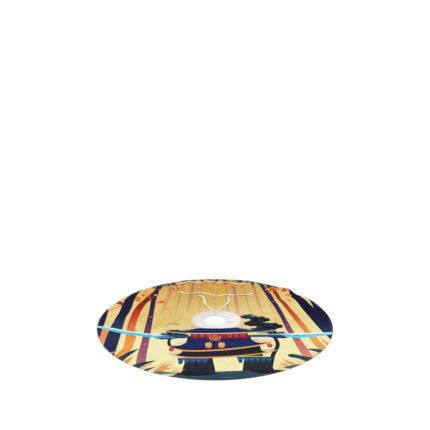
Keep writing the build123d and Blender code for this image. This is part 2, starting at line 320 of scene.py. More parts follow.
# Left trunks.
strip([(-0.590, 0.098, 0.014), (-0.562, 0.143, 0.017), (-0.522, 0.194, 0.013)], [(0, rgb("F3A86A")), (1, rgb("EE8A48"))])
poly([(-0.560, 0.222), (-0.544, 0.256), (-0.512, 0.224), (-0.516, 0.190)], [(0, rgb("8A2450")), (1, rgb("A82C50"))], ((-0.55, 0.25), (-0.515, 0.2)))
poly([(-0.522, 0.262), (-0.500, 0.300), (-0.492, 0.268), (-0.505, 0.246)], rgb("9E2440"))
poly([(-0.470, 0.296), (-0.462, 0.330), (-0.425, 0.308), (-0.426, 0.236), (-0.447, 0.258)], [(0, rgb("EE8E44")), (1, rgb("E2702F"))], ((-0.46, 0.32), (-0.43, 0.24)))
between(
    [(-0.66, 0.16), (-0.66, 0.0), (-0.66, -0.26)],
    [(-0.590, 0.160), (-0.584, 0.130), (-0.578, 0.064), (-0.574, -0.016), (-0.572, -0.121), (-0.568, -0.206), (-0.575, -0.260)],
    [(0, NAVY), (0.5, rgb("24264A")), (1, rgb("2C3C5C"))],
)
between(
    [(-0.573, -0.105), (-0.570, -0.160), (-0.566, -0.226), (-0.570, -0.290)],
    [(-0.541, -0.105), (-0.538, -0.160), (-0.536, -0.226), (-0.542, -0.320)],
    [(0, rgb("F0905A")), (1, rgb("EE9E6A"))],
)
trunk1_l = [(-0.470, 0.420), (-0.489, 0.363), (-0.512, 0.290), (-0.518, 0.235), (-0.521, 0.173), (-0.519, 0.097), (-0.525, 0.039), (-0.530, -0.031), (-0.535, -0.085), (-0.537, -0.160), (-0.536, -0.226), (-0.537, -0.300), (-0.542, -0.345)]
trunk1_r = [(-0.425, 0.460), (-0.447, 0.390), (-0.459, 0.320), (-0.460, 0.235), (-0.462, 0.147), (-0.464, 0.092), (-0.4725, 0.037), (-0.472, -0.031), (-0.4715, -0.099), (-0.469, -0.164), (-0.467, -0.286), (-0.466, -0.420)]
between(trunk1_l, trunk1_r, [(0, NAVY), (0.42, rgb("201C38")), (0.52, rgb("262A48")), (0.60, rgb("2A3A58")), (0.68, rgb("2E3556")), (1, rgb("2A2C56"))])
trunk2_l = [(-0.330, 0.520), (-0.365, 0.400), (-0.398, 0.310), (-0.423, 0.230), (-0.438, 0.173), (-0.446, 0.113), (-0.449, 0.047), (-0.451, -0.031), (-0.450, -0.106), (-0.445, -0.170), (-0.438, -0.251), (-0.438, -0.370)]
trunk2_r = [(-0.290, 0.545), (-0.325, 0.430), (-0.352, 0.320), (-0.380, 0.235), (-0.393, 0.185), (-0.400, 0.130), (-0.405, 0.064), (-0.408, -0.031), (-0.406, -0.109), (-0.401, -0.160), (-0.388, -0.205), (-0.391, -0.270), (-0.400, -0.395)]
between(trunk2_l, trunk2_r, [(0, rgb("5E1418")), (0.22, DARK_RED), (0.36, rgb("9A261A")), (0.50, rgb("C23C26")), (0.58, RED), (0.72, rgb("E98141")), (0.84, ORANGE), (1, rgb("F0A956"))])
trunk3_l = [(-0.350, 0.520), (-0.366, 0.327), (-0.361, 0.182), (-0.3585, 0.088), (-0.358, -0.030), (-0.358, -0.140), (-0.357, -0.265), (-0.359, -0.387), (-0.356, -0.500)]
trunk3_r = [(-0.322, 0.530), (-0.335, 0.299), (-0.333, 0.182), (-0.330, 0.080), (-0.326, -0.030), (-0.3225, -0.140), (-0.3195, -0.265), (-0.3165, -0.387), (-0.311, -0.500)]
between(trunk3_l, trunk3_r, [(0, NAVY_HIGH), (0.3, rgb("2C2140")), (0.50, rgb("402C4E")), (0.60, rgb("5C3D58")), (0.68, rgb("84486A")), (0.80, rgb("9C556E")), (1, rgb("BC6E74"))])

# Right trunks.
trunk4_l = [(0.262, 0.550), (0.300, 0.330), (0.334, 0.130), (0.353, -0.020), (0.358, -0.088), (0.365, -0.143), (0.379, -0.213), (0.389, -0.293), (0.397, -0.350), (0.406, -0.405)]
trunk4_r = [(0.290, 0.540), (0.332, 0.330), (0.362, 0.130), (0.376, 0.010), (0.386, -0.060), (0.396, -0.143), (0.415, -0.213), (0.430, -0.286), (0.443, -0.350), (0.455, -0.420)]
between(trunk4_l, trunk4_r, [(0, NAVY_HIGH), (0.35, PURPLE), (0.53, rgb("44304E")), (0.64, rgb("6A4660")), (0.74, rgb("A05A68")), (0.85, rgb("C8706C")), (1, rgb("E88E74"))])
trunk5_l = [(0.308, 0.500), (0.344, 0.360), (0.366, 0.260), (0.384, 0.173), (0.406, 0.064), (0.426, -0.039), (0.449, -0.145), (0.463, -0.209), (0.474, -0.267), (0.491, -0.345)]
trunk5_r = [(0.336, 0.510), (0.368, 0.370), (0.390, 0.270), (0.407, 0.199), (0.428, 0.105), (0.449, 0.015), (0.467, -0.069), (0.4815, -0.145), (0.500, -0.206), (0.512, -0.253), (0.530, -0.320)]
between(trunk5_l, trunk5_r, [(0, rgb("7E1E1A")), (0.3, rgb("A63521")), (0.45, rgb("C84526")), (0.56, rgb("D95C2C")), (0.64, rgb("E0853F")), (0.74, rgb("E69A4A")), (0.88, rgb("EFA64E")), (1, rgb("EEA45C"))])
trunk6_l = [(0.425, 0.460), (0.441, 0.385), (0.457, 0.276), (0.479, 0.156), (0.498, 0.055), (0.519, -0.047), (0.543, -0.150), (0.566, -0.225)]
between(trunk6_l, [(0.66, 0.45), (0.66, 0.2), (0.66, -0.25)], [(0, rgb("14112C")), (0.5, rgb("191634")), (0.72, rgb("1E2342")), (0.84, rgb("24385A")), (1, rgb("25365A"))])
# The bark's edge towards the light.
strip([(0.452, 0.280, 0.002), (0.474, 0.156, 0.004), (0.493, 0.055, 0.005), (0.514, -0.047, 0.005), (0.537, -0.145, 0.003)], [(0, rgb("F0E0A0")), (1, rgb("F6EEB4"))])
strip([(0.508, 0.330, 0.020), (0.524, 0.280, 0.020), (0.536, 0.220, 0.012), (0.547, 0.164, 0.001)], [(0, rgb("EBCF83")), (1, rgb("F2E2A2"))])
strip([(0.518, -0.205, 0.003), (0.531, -0.245, 0.014), (0.545, -0.290, 0.012)], [(0, rgb("F2BE7C")), (1, rgb("E99454"))])
strip([(0.506, -0.200, 0.002), (0.519, -0.245, 0.007), (0.532, -0.290, 0.004)], [(0, rgb("FAF4D0")), (1, rgb("F6EAB8"))])


def along(left, right, t):
    """Points on a trunk at height share t: its left edge, right edge."""
    a, b = curve(left), curve(right)
    return a[int(t * (len(a) - 1))], b[int(t * (len(b) - 1))]


# Shade down one side of each trunk, light down the other, and loose streaks of paint.
for left, right, dark, light, streak in [
    (trunk1_l, trunk1_r, rgb("15122E"), rgb("3A3560"), rgb("322C55")),
    (trunk2_l, trunk2_r, rgb("9A2A1C"), rgb("F2A25E"), rgb("C8502C")),
    (trunk3_l, trunk3_r, rgb("2B1C3D"), rgb("A9657C"), rgb("5D3A5C")),
    (trunk4_l, trunk4_r, rgb("3A2746"), rgb("D08A80"), rgb("6E4662")),
    (trunk5_l, trunk5_r, rgb("A23320"), rgb("F2B26A"), rgb("C65A30")),
]:
    a, b = curve(left), curve(right)
    n = min(len(a), len(b))
    a = a[np.linspace(0, len(a) - 1, 40).astype(int)]
    b = b[np.linspace(0, len(b) - 1, 40).astype(int)]
    owner = next(s for s in shapes if len(s["outline"]) and s["line"] is not None and s["line"][0] == left[0])
    stops = owner["colour"]

    def body(t):
        ts, cs = [s[0] for s in stops], np.array([s[1] for s in stops])
        return np.array([np.interp(t, ts, cs[:, k]) for k in range(3)])

    for k in range(9):
        t0 = random.uniform(0.05, 0.72)
        t1 = t0 + random.uniform(0.08, 0.24)
        side = random.choice([0.10, 0.16, 0.80, 0.88, random.uniform(0.25, 0.75)])
        ids = np.linspace(t0, t1, 5)
        path = []
        for j, t in enumerate(ids):
            p = mix(a[int(t * 39)], b[int(t * 39)], side)
            wide = np.linalg.norm(b[int(t * 39)] - a[int(t * 39)])
            path.append((p[0], p[1], wide * random.uniform(0.05, 0.13) * math.sin(math.pi * (j + 0.5) / 5)))
        tone = dark if side < 0.4 else light if side > 0.7 else streak
        s = 0.45 if side < 0.4 else 0.22 if side > 0.7 else 0.4
        strip(path, [(0, mix(body(t0), tone, s)), (1, mix(body(t1), tone, s))])

# Joints on the slim trunks.
for left, right, t, c in [
    (trunk3_l, trunk3_r, 0.478, rgb("E0B868")), (trunk3_l, trunk3_r, 0.785, rgb("EDC079")),
    (trunk3_l, trunk3_r, 0.17, rgb("B58A5A")), (trunk4_l, trunk4_r, 0.30, rgb("B58A5A")),
    (trunk4_l, trunk4_r, 0.630, rgb("C88A5E")), (trunk4_l, trunk4_r, 0.835, rgb("F0C090")),
]:
    a, b = along(left, right, t)
    p, q = mix(a, b, 0.30), mix(a, b, 0.84)
    strip([(p[0], p[1] - 0.003, 0.002), (mix(p, q, 0.5)[0], mix(p, q, 0.5)[1] - 0.001, 0.006), (q[0], q[1] + 0.005, 0.001)], c)

# Leaf clusters at the right and left back, in red and orange.
for cx, cy, spread, count, palette in [
    (0.345, 0.425, 0.050, 26, ("D8492A", "E8803A", "B83024", "F0B050")),
    (0.412, 0.400, 0.018, 12, ("C8301F", "D8492A", "B83024")),
    (0.432, 0.345, 0.016, 10, ("E8803A", "F0B050", "EFA24E")),
    (0.424, 0.270, 0.016, 9, ("E9953A", "F0B860")),
    (-0.308, 0.240, 0.020, 12, ("D8572C", "E8803A", "E06A34")),
    (-0.245, 0.470, 0.070, 24, ("D8492A", "E8803A", "F0B050")),
    (-0.400, 0.330, 0.040, 12, ("E8803A", "F0B050", "C8402A")),
    (0.110, 0.520, 0.070, 22, ("D8492A", "E8803A", "F0B050")),
]:
    for k in range(count):
        x, y = cx + random.gauss(0, spread * 0.5), cy + random.gauss(0, spread * 0.5)
        if math.hypot(x, y) > 0.6 or math.hypot(x, y) < 0.1:
            continue
        lean, size = random.uniform(0, math.tau), random.uniform(0.010, 0.024)
        dx, dy = math.cos(lean) * size, math.sin(lean) * size
        strip([(x - dx, y - dy, 0.001), (x, y, size * 0.62), (x + dx, y + dy, 0.001)], rgb(random.choice(palette)), step=0.005)

# Dark boughs along the back rim.
for k in range(46):
    a = math.radians(random.uniform(52, 128))
    r0 = 0.63
    x0, y0 = r0 * math.cos(a), r0 * math.sin(a)
    size = random.uniform(0.045, 0.115)
    lean = a + math.pi + random.uniform(-0.75, 0.75)
    x1, y1 = x0 + math.cos(lean) * size, y0 + math.sin(lean) * size
    mx, my = (x0 + x1) / 2 + random.uniform(-0.008, 0.008), (y0 + y1) / 2
    c = random.choice([TEAL_DARK, TEAL, TEAL, rgb("2F5F5A")])
    strip([(x0, y0, 0.016), (mx, my, random.uniform(0.012, 0.020)), (x1, y1, 0.001)], [(0, c * 0.9), (1, mix(c, GREEN, 0.25))])

# Moon behind the pavilion, round the trunk hole.
blob([(0.008 + 0.128 * math.cos(t), 0.002 + 0.118 * math.sin(t)) for t in np.linspace(0, math.tau, 20, endpoint=False)],
     [(0, rgb("DEDCDC")), (0.45, MOON), (1, rgb("F6F5F2"))], ((-0.09, 0.09), (0.06, -0.09)))
for cx, cy, w, h in [(-0.075, 0.035, 0.020, 0.012), (0.085, 0.055, 0.016, 0.010), (0.082, -0.030, 0.022, 0.011), (-0.050, -0.080, 0.018, 0.008)]:
    blob([(cx + w * math.cos(t), cy + h * math.sin(t)) for t in np.linspace(0, math.tau, 10, endpoint=False)], rgb("E4E2E1"))

# Pines in dark pads of needles either side of the pavilion, one on a low rock.
def pine(trunk, pads, seed):
    rng = random.Random(seed)
    strip(trunk, [(0, rgb("2A2228")), (1, rgb("3A2A30"))])
    for cx, cy, w, h in pads:
        ring = []
        for k in range(16):
            a = math.tau * k / 16
            puff = 1 + (0.13 if k % 2 else -0.07) + rng.uniform(-0.03, 0.03)
            flat = 0.55 if math.sin(a) < 0 else 1.0
            ring.append((cx + w * puff * math.cos(a), cy + h * puff * flat * math.sin(a)))
        blob(ring, [(0, rgb("26304A")), (0.45, rgb("22222F")), (1, rgb("18171F"))], ((cx, cy + h), (cx, cy - h * 0.6)), step=0.005)
        for k in range(7):
            x, y = cx + rng.uniform(-0.75, 0.75) * w, cy + rng.uniform(-0.2, 0.75) * h
            z = rng.uniform(0.14, 0.30) * w
            strip([(x - z, y - z * 0.30, 0.0008), (x, y + z * 0.12, 0.0045), (x + z, y - z * 0.22, 0.0008)], rgb(rng.choice(["2E4568", "2B5470", "33405E", "2C5A66", "3A3F5C"])), step=0.005)


pine([(0.240, -0.540, 0.022), (0.266, -0.400, 0.021), (0.302, -0.270, 0.020), (0.268, -0.130, 0.017), (0.205, -0.010, 0.010)],
     [(0.318, -0.190, 0.056, 0.046), (0.246, -0.130, 0.062, 0.050), (0.292, -0.082, 0.056, 0.046), (0.206, -0.056, 0.056, 0.046), (0.236, -0.004, 0.052, 0.042), (0.180, 0.028, 0.044, 0.034)], 3)
for x, y, c in [(0.150, 0.060, "2E6FA0"), (0.186, 0.068, "3C7F6E"), (0.214, 0.056, "E8803A"), (0.166, 0.040, "1F4E8C"), (0.244, 0.040, "C8402A"), (0.200, 0.040, "5E9CC8")]:
    strip([(x - 0.020, y - 0.005, 0.001), (x, y, 0.010), (x + 0.022, y + 0.004, 0.001)], rgb(c))
pine([(-0.215, -0.300, 0.016), (-0.224, -0.250, 0.015), (-0.212, -0.200, 0.013), (-0.190, -0.160, 0.007)],
     [(-0.240, -0.206, 0.054, 0.044), (-0.176, -0.196, 0.046, 0.038), (-0.205, -0.150, 0.042, 0.030)], 5)
for x, y, c in [(-0.238, -0.052, "2E6FA0"), (-0.214, -0.044, "E8803A"), (-0.196, -0.056, "1F4E8C")]:
    strip([(x - 0.018, y - 0.004, 0.001), (x, y, 0.008), (x + 0.018, y + 0.004, 0.001)], rgb(c))

# A narrow stream that winds across in front of the trunks, white along its far bank.
stream = [(-0.650, -0.068), (-0.600, -0.084), (-0.520, -0.117), (-0.443, -0.151), (-0.376, -0.171), (-0.320, -0.186), (-0.272, -0.196), (-0.200, -0.200), (-0.080, -0.200),
          (0.060, -0.196), (0.200, -0.190), (0.345, -0.180), (0.400, -0.186), (0.460, -0.179), (0.540, -0.170), (0.590, -0.156), (0.650, -0.146)]
wide = [0.014, 0.018, 0.033, 0.036, 0.036, 0.036, 0.035, 0.026, 0.022, 0.022, 0.026, 0.037, 0.052, 0.048, 0.036, 0.020, 0.014]
flow = [(0, rgb("BDEFF6")), (0.06, rgb("7FE0F2")), (0.14, rgb("4FCBEA")), (0.22, rgb("3C9AD4")), (0.29, rgb("2F74BE")), (0.34, DEEP_BLUE), (0.66, DEEP_BLUE), (0.76, rgb("1E4E96")), (0.79, BLUE),
        (0.84, rgb("4FC0E2")), (0.92, rgb("7ADAEA")), (1, rgb("B8ECEF"))]
strip([(x, y, w) for (x, y), w in zip(stream, wide)], flow)
strip([(x, y + w * 0.34, w * 0.34) for (x, y), w in zip(stream, wide)],
      [(0, MIST), (0.2, rgb("F4F8F4")), (0.29, rgb("DDEEF2")), (0.34, rgb("2F6AA8")), (0.66, rgb("2F6AA8")), (0.75, rgb("9FD2E2")), (0.80, rgb("E8F8F4")), (1, MIST)])
strip([(x, y - w * 0.30, w * 0.42) for (x, y), w in zip(stream[:8], wide[:8])], [(0, rgb("5FE6F4")), (0.3, rgb("3FE0F0")), (0.8, rgb("36D2EE")), (1, rgb("2F9AD6"))])
strip([(x, y - w * 0.26, w * 0.40) for (x, y), w in zip(stream[11:16], wide[11:16])], [(0, rgb("4FD0EE")), (0.4, rgb("62D8E8")), (1, rgb("8FE4EA"))])
for k in range(34):
    i = random.choice([1, 2, 3, 4, 5, 11, 12, 13, 14])
    t = random.random()
    x, y = mix(stream[i][0], stream[i + 1][0], t), mix(stream[i][1], stream[i + 1][1], t)
    slope = math.atan2(stream[i + 1][1] - stream[i][1], stream[i + 1][0] - stream[i][0])
    y += random.uniform(-0.006, 0.006)
    size = random.uniform(0.010, 0.028)
    dx, dy = math.cos(slope) * size, math.sin(slope) * size
    strip([(x - dx, y - dy, 0.0006), (x, y, 0.0035), (x + dx, y + dy, 0.0006)], rgb(random.choice(["2A86C6", "8FE8F2", "1F66AE", "C8F4F6", "49D3EE"])))
poly([(0.552, -0.180), (0.600, -0.166), (0.606, -0.215), (0.570, -0.232)], rgb("27325A"))


# The pavilion: three roofs over one another, a beam, lanterns and two piers.
def roof(left, right, ridge_l, ridge_r, sag, thick, colour, lip, rows, tone):
    """Curved roof with turned-up corners. sag is how far its eave dips, thick the depth of the eave's lip."""
    lx, ly = left
    rx, ry = right
    top = curve([(lx, ly), mix(np.array(left), np.array(ridge_l), 0.55) - (0, sag * 0.55), ridge_l], step=0.006)
    top2 = curve([ridge_r, mix(np.array(right), np.array(ridge_r), 0.55) - (0, sag * 0.55), (rx, ry)], step=0.006)
    eave = curve([(rx, ry), (mix(rx, lx, 0.16), ry - sag * 0.72), (mix(rx, lx, 0.5), mix(ry, ly, 0.5) - sag), (mix(rx, lx, 0.84), ly - sag * 0.72), (lx, ly)], step=0.006)
    add(np.vstack([top[:-1], top2[:-1], eave[:-1]]), colour, ((0, ridge_l[1]), (0, min(ly, ry) - sag)))
    for k in range(rows):
        t = (k + 0.5) / rows
        hi = mix(np.array(ridge_l), np.array(ridge_r), t)
        e = eave[int((1 - t) * (len(eave) - 1))]
        m = mix(hi, e, 0.5) + ((t - 0.5) * -0.012, -0.002)
        strip([(hi[0], hi[1] - 0.004, 0.0012), (m[0], m[1], 0.0026), (e[0], e[1] + 0.006, 0.0022)], tone)
    lip_path = [(p[0], p[1], thick * (0.45 + 0.55 * math.sin(math.pi * i / (len(eave) - 1)) ** 0.5)) for i, p in enumerate(eave)]
    lip_path = lip_path[:: max(1, len(lip_path) // 14)] + [lip_path[-1]]
    strip(lip_path, lip)


# Two stone piers with a gateway between them, drawn before the roofs that overhang them.
def pier(x0, x1, y0, y1, spread, rows, seed):
    rng = random.Random(seed)
    poly([(x0, y0), (x1, y0), (x1 + spread, y1), (x0 - spread, y1)], [(0, rgb("1E1C26")), (0.6, rgb("2B2A34")), (1, rgb("23232B"))], ((0, y0), (0, y1)))
    for k in range(1, rows):
        t = k / rows
        y = mix(y0, y1, t)
        strip([(x0 - spread * t + 0.003, y, 0.0012), ((x0 + x1) / 2, y + 0.0008, 0.0018), (x1 + spread * t - 0.003, y, 0.0012)], rgb("454353"))
        count = 4
        for j in range(count):
            f = (j + (0.5 if k % 2 else 0.15)) / count + rng.uniform(-0.03, 0.03)
            x = mix(x0 - spread * t, x1 + spread * t, min(0.95, max(0.05, f)))
            poly([(x - 0.0007, y), (x + 0.0007, y), (x + 0.0007, y - (y0 - y1) / rows), (x - 0.0007, y - (y0 - y1) / rows)], rgb("3D3B4A"))


pier(-0.132, -0.012, -0.415, -0.552, 0.016, 6, 1)
pier(0.136, 0.246, -0.405, -0.536, 0.016, 6, 2)
# Steps at the foot of each pier, and blue brackets under the lowest eave.
for x0, x1, y in [(-0.166, 0.018, -0.552), (-0.176, 0.026, -0.562), (0.108, 0.280, -0.536), (0.100, 0.294, -0.546)]:
    poly([(x0, y + 0.004), (x1, y + 0.004), (x1, y - 0.008), (x0, y - 0.008)], [(0, rgb("34333F")), (1, rgb("22222A"))], ((0, y + 0.004), (0, y - 0.008)))
for x0, x1, y, count in [(-0.168, -0.030, -0.430, 5), (0.104, 0.262, -0.420, 6)]:
    poly([(x0 - 0.004, y + 0.014), (x1 + 0.004, y + 0.014), (x1 + 0.002, y - 0.004), (x0 - 0.002, y - 0.004)], [(0, rgb("24558F")), (1, rgb("1B3F74"))], ((0, y + 0.014), (0, y - 0.004)))
    for k in range(count):
        a, b = mix(x0, x1, k / count), mix(x0, x1, (k + 0.86) / count)
        m = (a + b) / 2
        poly([(a, y), (b, y), (b - 0.001, y - 0.020), (m + 0.007, y - 0.042), (m - 0.007, y - 0.042), (a + 0.001, y - 0.020)],
             [(0, rgb("2F6492")), (0.5, rgb("2A4F78")), (1, rgb("233650"))], ((m, y), (m, y - 0.042)))
        strip([(a + 0.003, y - 0.007, 0.0012), (m, y - 0.009, 0.0022), (b - 0.003, y - 0.007, 0.0012)], rgb("6BA6D0"), step=0.004)
poly([(-0.150, -0.300), (0.215, -0.290), (0.222, -0.400), (-0.158, -0.405)], [(0, rgb("26222E")), (1, rgb("1C1A22"))], ((0, -0.3), (0, -0.4)))
roof((-0.214, -0.372), (0.292, -0.338), (-0.140, -0.335), (0.205, -0.326), 0.052, 0.013, [(0, rgb("1D1B27")), (0.6, rgb("24222E")), (1, rgb("1A1920"))],
     [(0, rgb("F0A66A")), (0.5, rgb("D8935F")), (1, rgb("F2A268"))], 21, rgb("3C3A49"))
# Upper wall: dark timber with lit lattice windows between its posts.
poly([(-0.134, -0.205), (0.176, -0.200), (0.186, -0.318), (-0.146, -0.322)], [(0, rgb("201D2A")), (1, rgb("1B1922"))], ((0, -0.2), (0, -0.31)))
roof((-0.228, -0.296), (0.282, -0.248), (-0.112, -0.214), (0.156, -0.208), 0.066, 0.013, [(0, rgb("1A2046")), (0.5, rgb("1F2A55")), (1, rgb("191F40"))],
     [(0, rgb("F4B070")), (0.5, rgb("F0A860")), (1, rgb("F6B676"))], 19, rgb("414B8C"))
poly([(-0.122, -0.158), (0.164, -0.154), (0.164, -0.216), (-0.122, -0.218)], [(0, rgb("A9243E")), (0.6, rgb("B8283F")), (1, WINE)], ((0, -0.158), (0, -0.218)))
for k in range(9):
    x = mix(-0.114, 0.156, k / 8)
    poly([(x - 0.003, -0.158), (x + 0.003, -0.158), (x + 0.003, -0.216), (x - 0.003, -0.216)], rgb("6E142C"))
for k in (0, 1, 2, 5, 6, 7):
    x = mix(-0.114, 0.156, (k + 0.5) / 8)
    poly([(x - 0.010, -0.172), (x + 0.010, -0.172), (x + 0.010, -0.202), (x - 0.010, -0.202)], [(0, rgb("D95A58")), (1, rgb("C03A48"))], ((0, -0.172), (0, -0.202)))
    for dx in (-0.0035, 0.0035):
        poly([(x + dx - 0.0007, -0.173), (x + dx + 0.0007, -0.173), (x + dx + 0.0007, -0.201), (x + dx - 0.0007, -0.201)], rgb("7C1732"))
    poly([(x - 0.010, -0.186), (x + 0.010, -0.186), (x + 0.010, -0.188), (x - 0.010, -0.188)], rgb("7C1732"))
roof((-0.268, -0.128), (0.318, -0.118), (-0.094, -0.104), (0.118, -0.100), 0.040, 0.009, [(0, rgb("04205C")), (0.35, rgb("0A296C")), (0.6, rgb("1A1E40")), (1, rgb("191824"))],
     [(0, rgb("E8C890")), (0.5, rgb("E9DCAE")), (1, rgb("E8C890"))], 25, rgb("24408C"))
strip([(-0.108, -0.098, 0.005), (0.010, -0.107, 0.008), (0.130, -0.094, 0.005)], rgb("3057A8"))
for x, y, lean in [(-0.112, -0.094, -1), (0.134, -0.090, 1)]:
    strip([(x, y, 0.006), (x + lean * 0.008, y + 0.010, 0.005), (x + lean * 0.004, y + 0.018, 0.001)], rgb("3057A8"), step=0.004)

# A round rosette and hanging lanterns under the beam and the eaves.
for r, c in [(0.029, "E7AE62"), (0.025, "8E1A34"), (0.021, "C2324A")]:
    blob([(0.000 + r * math.cos(t), -0.212 + r * 0.96 * math.sin(t)) for t in np.linspace(0, math.tau, 18, endpoint=False)], rgb(c), step=0.004)
for k in range(8):
    t = k * math.tau / 8
    strip([(0.007 * math.cos(t), -0.212 + 0.007 * math.sin(t), 0.001), (0.012 * math.cos(t + 0.3), -0.212 + 0.012 * math.sin(t + 0.3), 0.005),
           (0.018 * math.cos(t), -0.212 + 0.018 * math.sin(t), 0.001)], rgb("E08A5A" if k % 2 else "F0B070"), step=0.003)


def lantern(x, y, w, h, top, middle, bottom, rib):
    blob([(x - w * 0.53, y), (x + w * 0.53, y), (x + w, y - h * 0.24), (x + w, y - h * 0.72), (x + w * 0.6, y - h), (x - w * 0.6, y - h), (x - w, y - h * 0.72), (x - w, y - h * 0.24)],
         [(0, rgb(top)), (0.5, rgb(middle)), (1, rgb(bottom))], ((0, y), (0, y - h)), step=0.004)
    for yy in (y - h * 0.04, y - h * 0.96):
        strip([(x - w * 0.67, yy, 0.003), (x, yy - 0.001, 0.005), (x + w * 0.67, yy, 0.003)], rgb("6A2E28"), step=0.004)
    for dx in (-0.53, 0, 0.53):
        strip([(x + dx * w * 0.7, y - h * 0.14, 0.0008), (x + dx * w, y - h * 0.5, 0.0018), (x + dx * w * 0.7, y - h * 0.88, 0.0008)], rgb(rib), step=0.004)


for x in (-0.031, 0.031):
    strip([(x * 0.45, -0.236, 0.0016), (x, -0.262, 0.0018)], rgb("E7AE62"))
    lantern(x, -0.262, 0.015, 0.058, "F7CD8A", "EE9A58", "C86A3C", "FBE0A8")
for x, y in [(-0.205, -0.306), (0.262, -0.268)]:
    strip([(x, y + 0.012, 0.0015), (x, y - 0.004, 0.0015)], rgb("C2324A"))
    lantern(x, y - 0.004, 0.012, 0.040, "E04A5E", "C22F48", "9A1E38", "F08A80")

# Grass: slender orange and cream strokes along the front, then dark leaves and the ground.
def blade(points, c0, c1, step=0.005):
    poly_line = curve(points, closed=True, step=step)
    add(poly_line, [(0, rgb(c0)), (1, rgb(c1))], (points[0], points[len(points) // 2]))


for x0, y0, x1, y1, w, c0, c1 in [
    # Loose fans of grass: root, tip, width, colours from root to tip.
    (-0.262, -0.545, -0.206, -0.437, 0.020, "F6A45A", "F4C080"), (-0.258, -0.545, -0.190, -0.455, 0.017, "F09A50", "F2B474"), (-0.262, -0.548, -0.180, -0.466, 0.016, "EE8E44", "F0A868"),
    (-0.268, -0.540, -0.244, -0.470, 0.013, "F8CF94", "F9E4AE"), (-0.262, -0.540, -0.226, -0.452, 0.012, "F4B46C", "F8DDA4"), (-0.270, -0.536, -0.166, -0.505, 0.020, "F58E44", "F2A868"),
    (-0.262, -0.545, -0.212, -0.535, 0.014, "EE7E3A", "F29A58"), (-0.205, -0.560, -0.140, -0.500, 0.012, "F4B474", "F6CF94"), (-0.205, -0.562, -0.128, -0.522, 0.013, "F0A05A", "F4BC80"),
    (-0.215, -0.560, -0.182, -0.492, 0.010, "F6C88A", "F9E2B0"), (-0.330, -0.508, -0.292, -0.452, 0.010, "F8D59A", "F9E6B0"),
    (0.352, -0.488, 0.300, -0.408, 0.016, "F2A862", "F4C084"), (0.366, -0.478, 0.322, -0.432, 0.016, "F0A05A", "F2B474"), (0.330, -0.492, 0.290, -0.449, 0.010, "E4602C", "F08A4C"),
    (0.325, -0.498, 0.270, -0.462, 0.010, "F4B878", "F8DBA4"), (0.318, -0.505, 0.262, -0.486, 0.010, "F2A662", "F6CE94"), (0.392, -0.462, 0.350, -0.420, 0.014, "F6C684", "F8E0AC"),
    (0.410, -0.450, 0.380, -0.412, 0.010, "F0A868", "F4C890"), (0.300, -0.515, 0.252, -0.505, 0.008, "F0A868", "F4C890"),
    (0.500, -0.372, 0.452, -0.366, 0.012, "EE9450", "F2AE70"), (0.478, -0.398, 0.452, -0.384, 0.012, "EE9450", "F4BC80"),
]:
    dx, dy = x1 - x0, y1 - y0
    strip([(x0, y0, w * 0.45), (x0 + dx * 0.30 - dy * 0.03, y0 + dy * 0.30 + dx * 0.03, w), (x0 + dx * 0.62 - dy * 0.04, y0 + dy * 0.62 + dx * 0.04, w * 0.62), (x1, y1, 0.0006)],
          [(0, rgb(c0)), (1, rgb(c1))], step=0.005)
blade([(-0.512, -0.365), (-0.485, -0.362), (-0.465, -0.347), (-0.444, -0.336), (-0.462, -0.356), (-0.482, -0.376)], "EE8A44", "F09A50")
blade([(-0.478, -0.410), (-0.455, -0.372), (-0.439, -0.331), (-0.417, -0.314), (-0.388, -0.304), (-0.398, -0.331), (-0.420, -0.357), (-0.441, -0.400), (-0.462, -0.430)], "E88C3C", "F0A048")
blade([(-0.446, -0.405), (-0.432, -0.372), (-0.414, -0.350), (-0.424, -0.378), (-0.438, -0.408)], "F6BE78", "F2AA5C", 0.004)
blade([(-0.428, -0.470), (-0.412, -0.446), (-0.398, -0.422), (-0.380, -0.403), (-0.383, -0.432), (-0.394, -0.468), (-0.405, -0.490)], "F0924C", "EFA45E")
blade([(-0.352, -0.520), (-0.336, -0.503), (-0.320, -0.487), (-0.301, -0.472), (-0.285, -0.463), (-0.286, -0.480), (-0.307, -0.499), (-0.326, -0.524)], "F6A868", "F7C690")
blade([(-0.482, -0.440), (-0.448, -0.413), (-0.428, -0.387), (-0.401, -0.354), (-0.362, -0.327), (-0.381, -0.367), (-0.406, -0.413), (-0.424, -0.456), (-0.450, -0.480)], "25484D", "1A4046")
blade([(-0.402, -0.512), (-0.369, -0.484), (-0.338, -0.461), (-0.310, -0.449), (-0.270, -0.442), (-0.293, -0.463), (-0.318, -0.484), (-0.340, -0.512), (-0.370, -0.530)], "25484D", "1B4048")
blade([(-0.345, -0.545), (-0.313, -0.520), (-0.291, -0.508), (-0.264, -0.496), (-0.279, -0.514), (-0.300, -0.536), (-0.318, -0.556)], "274347", "1B363E")
blade([(-0.300, -0.556), (-0.273, -0.545), (-0.247, -0.536), (-0.220, -0.541), (-0.172, -0.556), (-0.210, -0.562), (-0.239, -0.564), (-0.272, -0.570)], "2F7F70", "3F8A78")
blade([(0.438, -0.330), (0.467, -0.324), (0.510, -0.336), (0.560, -0.352), (0.545, -0.380), (0.492, -0.366), (0.470, -0.352)], "24545B", "1F4A52")
blade([(0.336, -0.393), (0.352, -0.377), (0.380, -0.383), (0.415, -0.401), (0.448, -0.411), (0.500, -0.425), (0.480, -0.460), (0.417, -0.447), (0.399, -0.432), (0.373, -0.417), (0.348, -0.409)], "1F454C", "204A50")
blade([(0.304, -0.508), (0.329, -0.489), (0.353, -0.480), (0.385, -0.473), (0.430, -0.470), (0.400, -0.500), (0.355, -0.508), (0.327, -0.512)], "2A766C", "2F6E66")
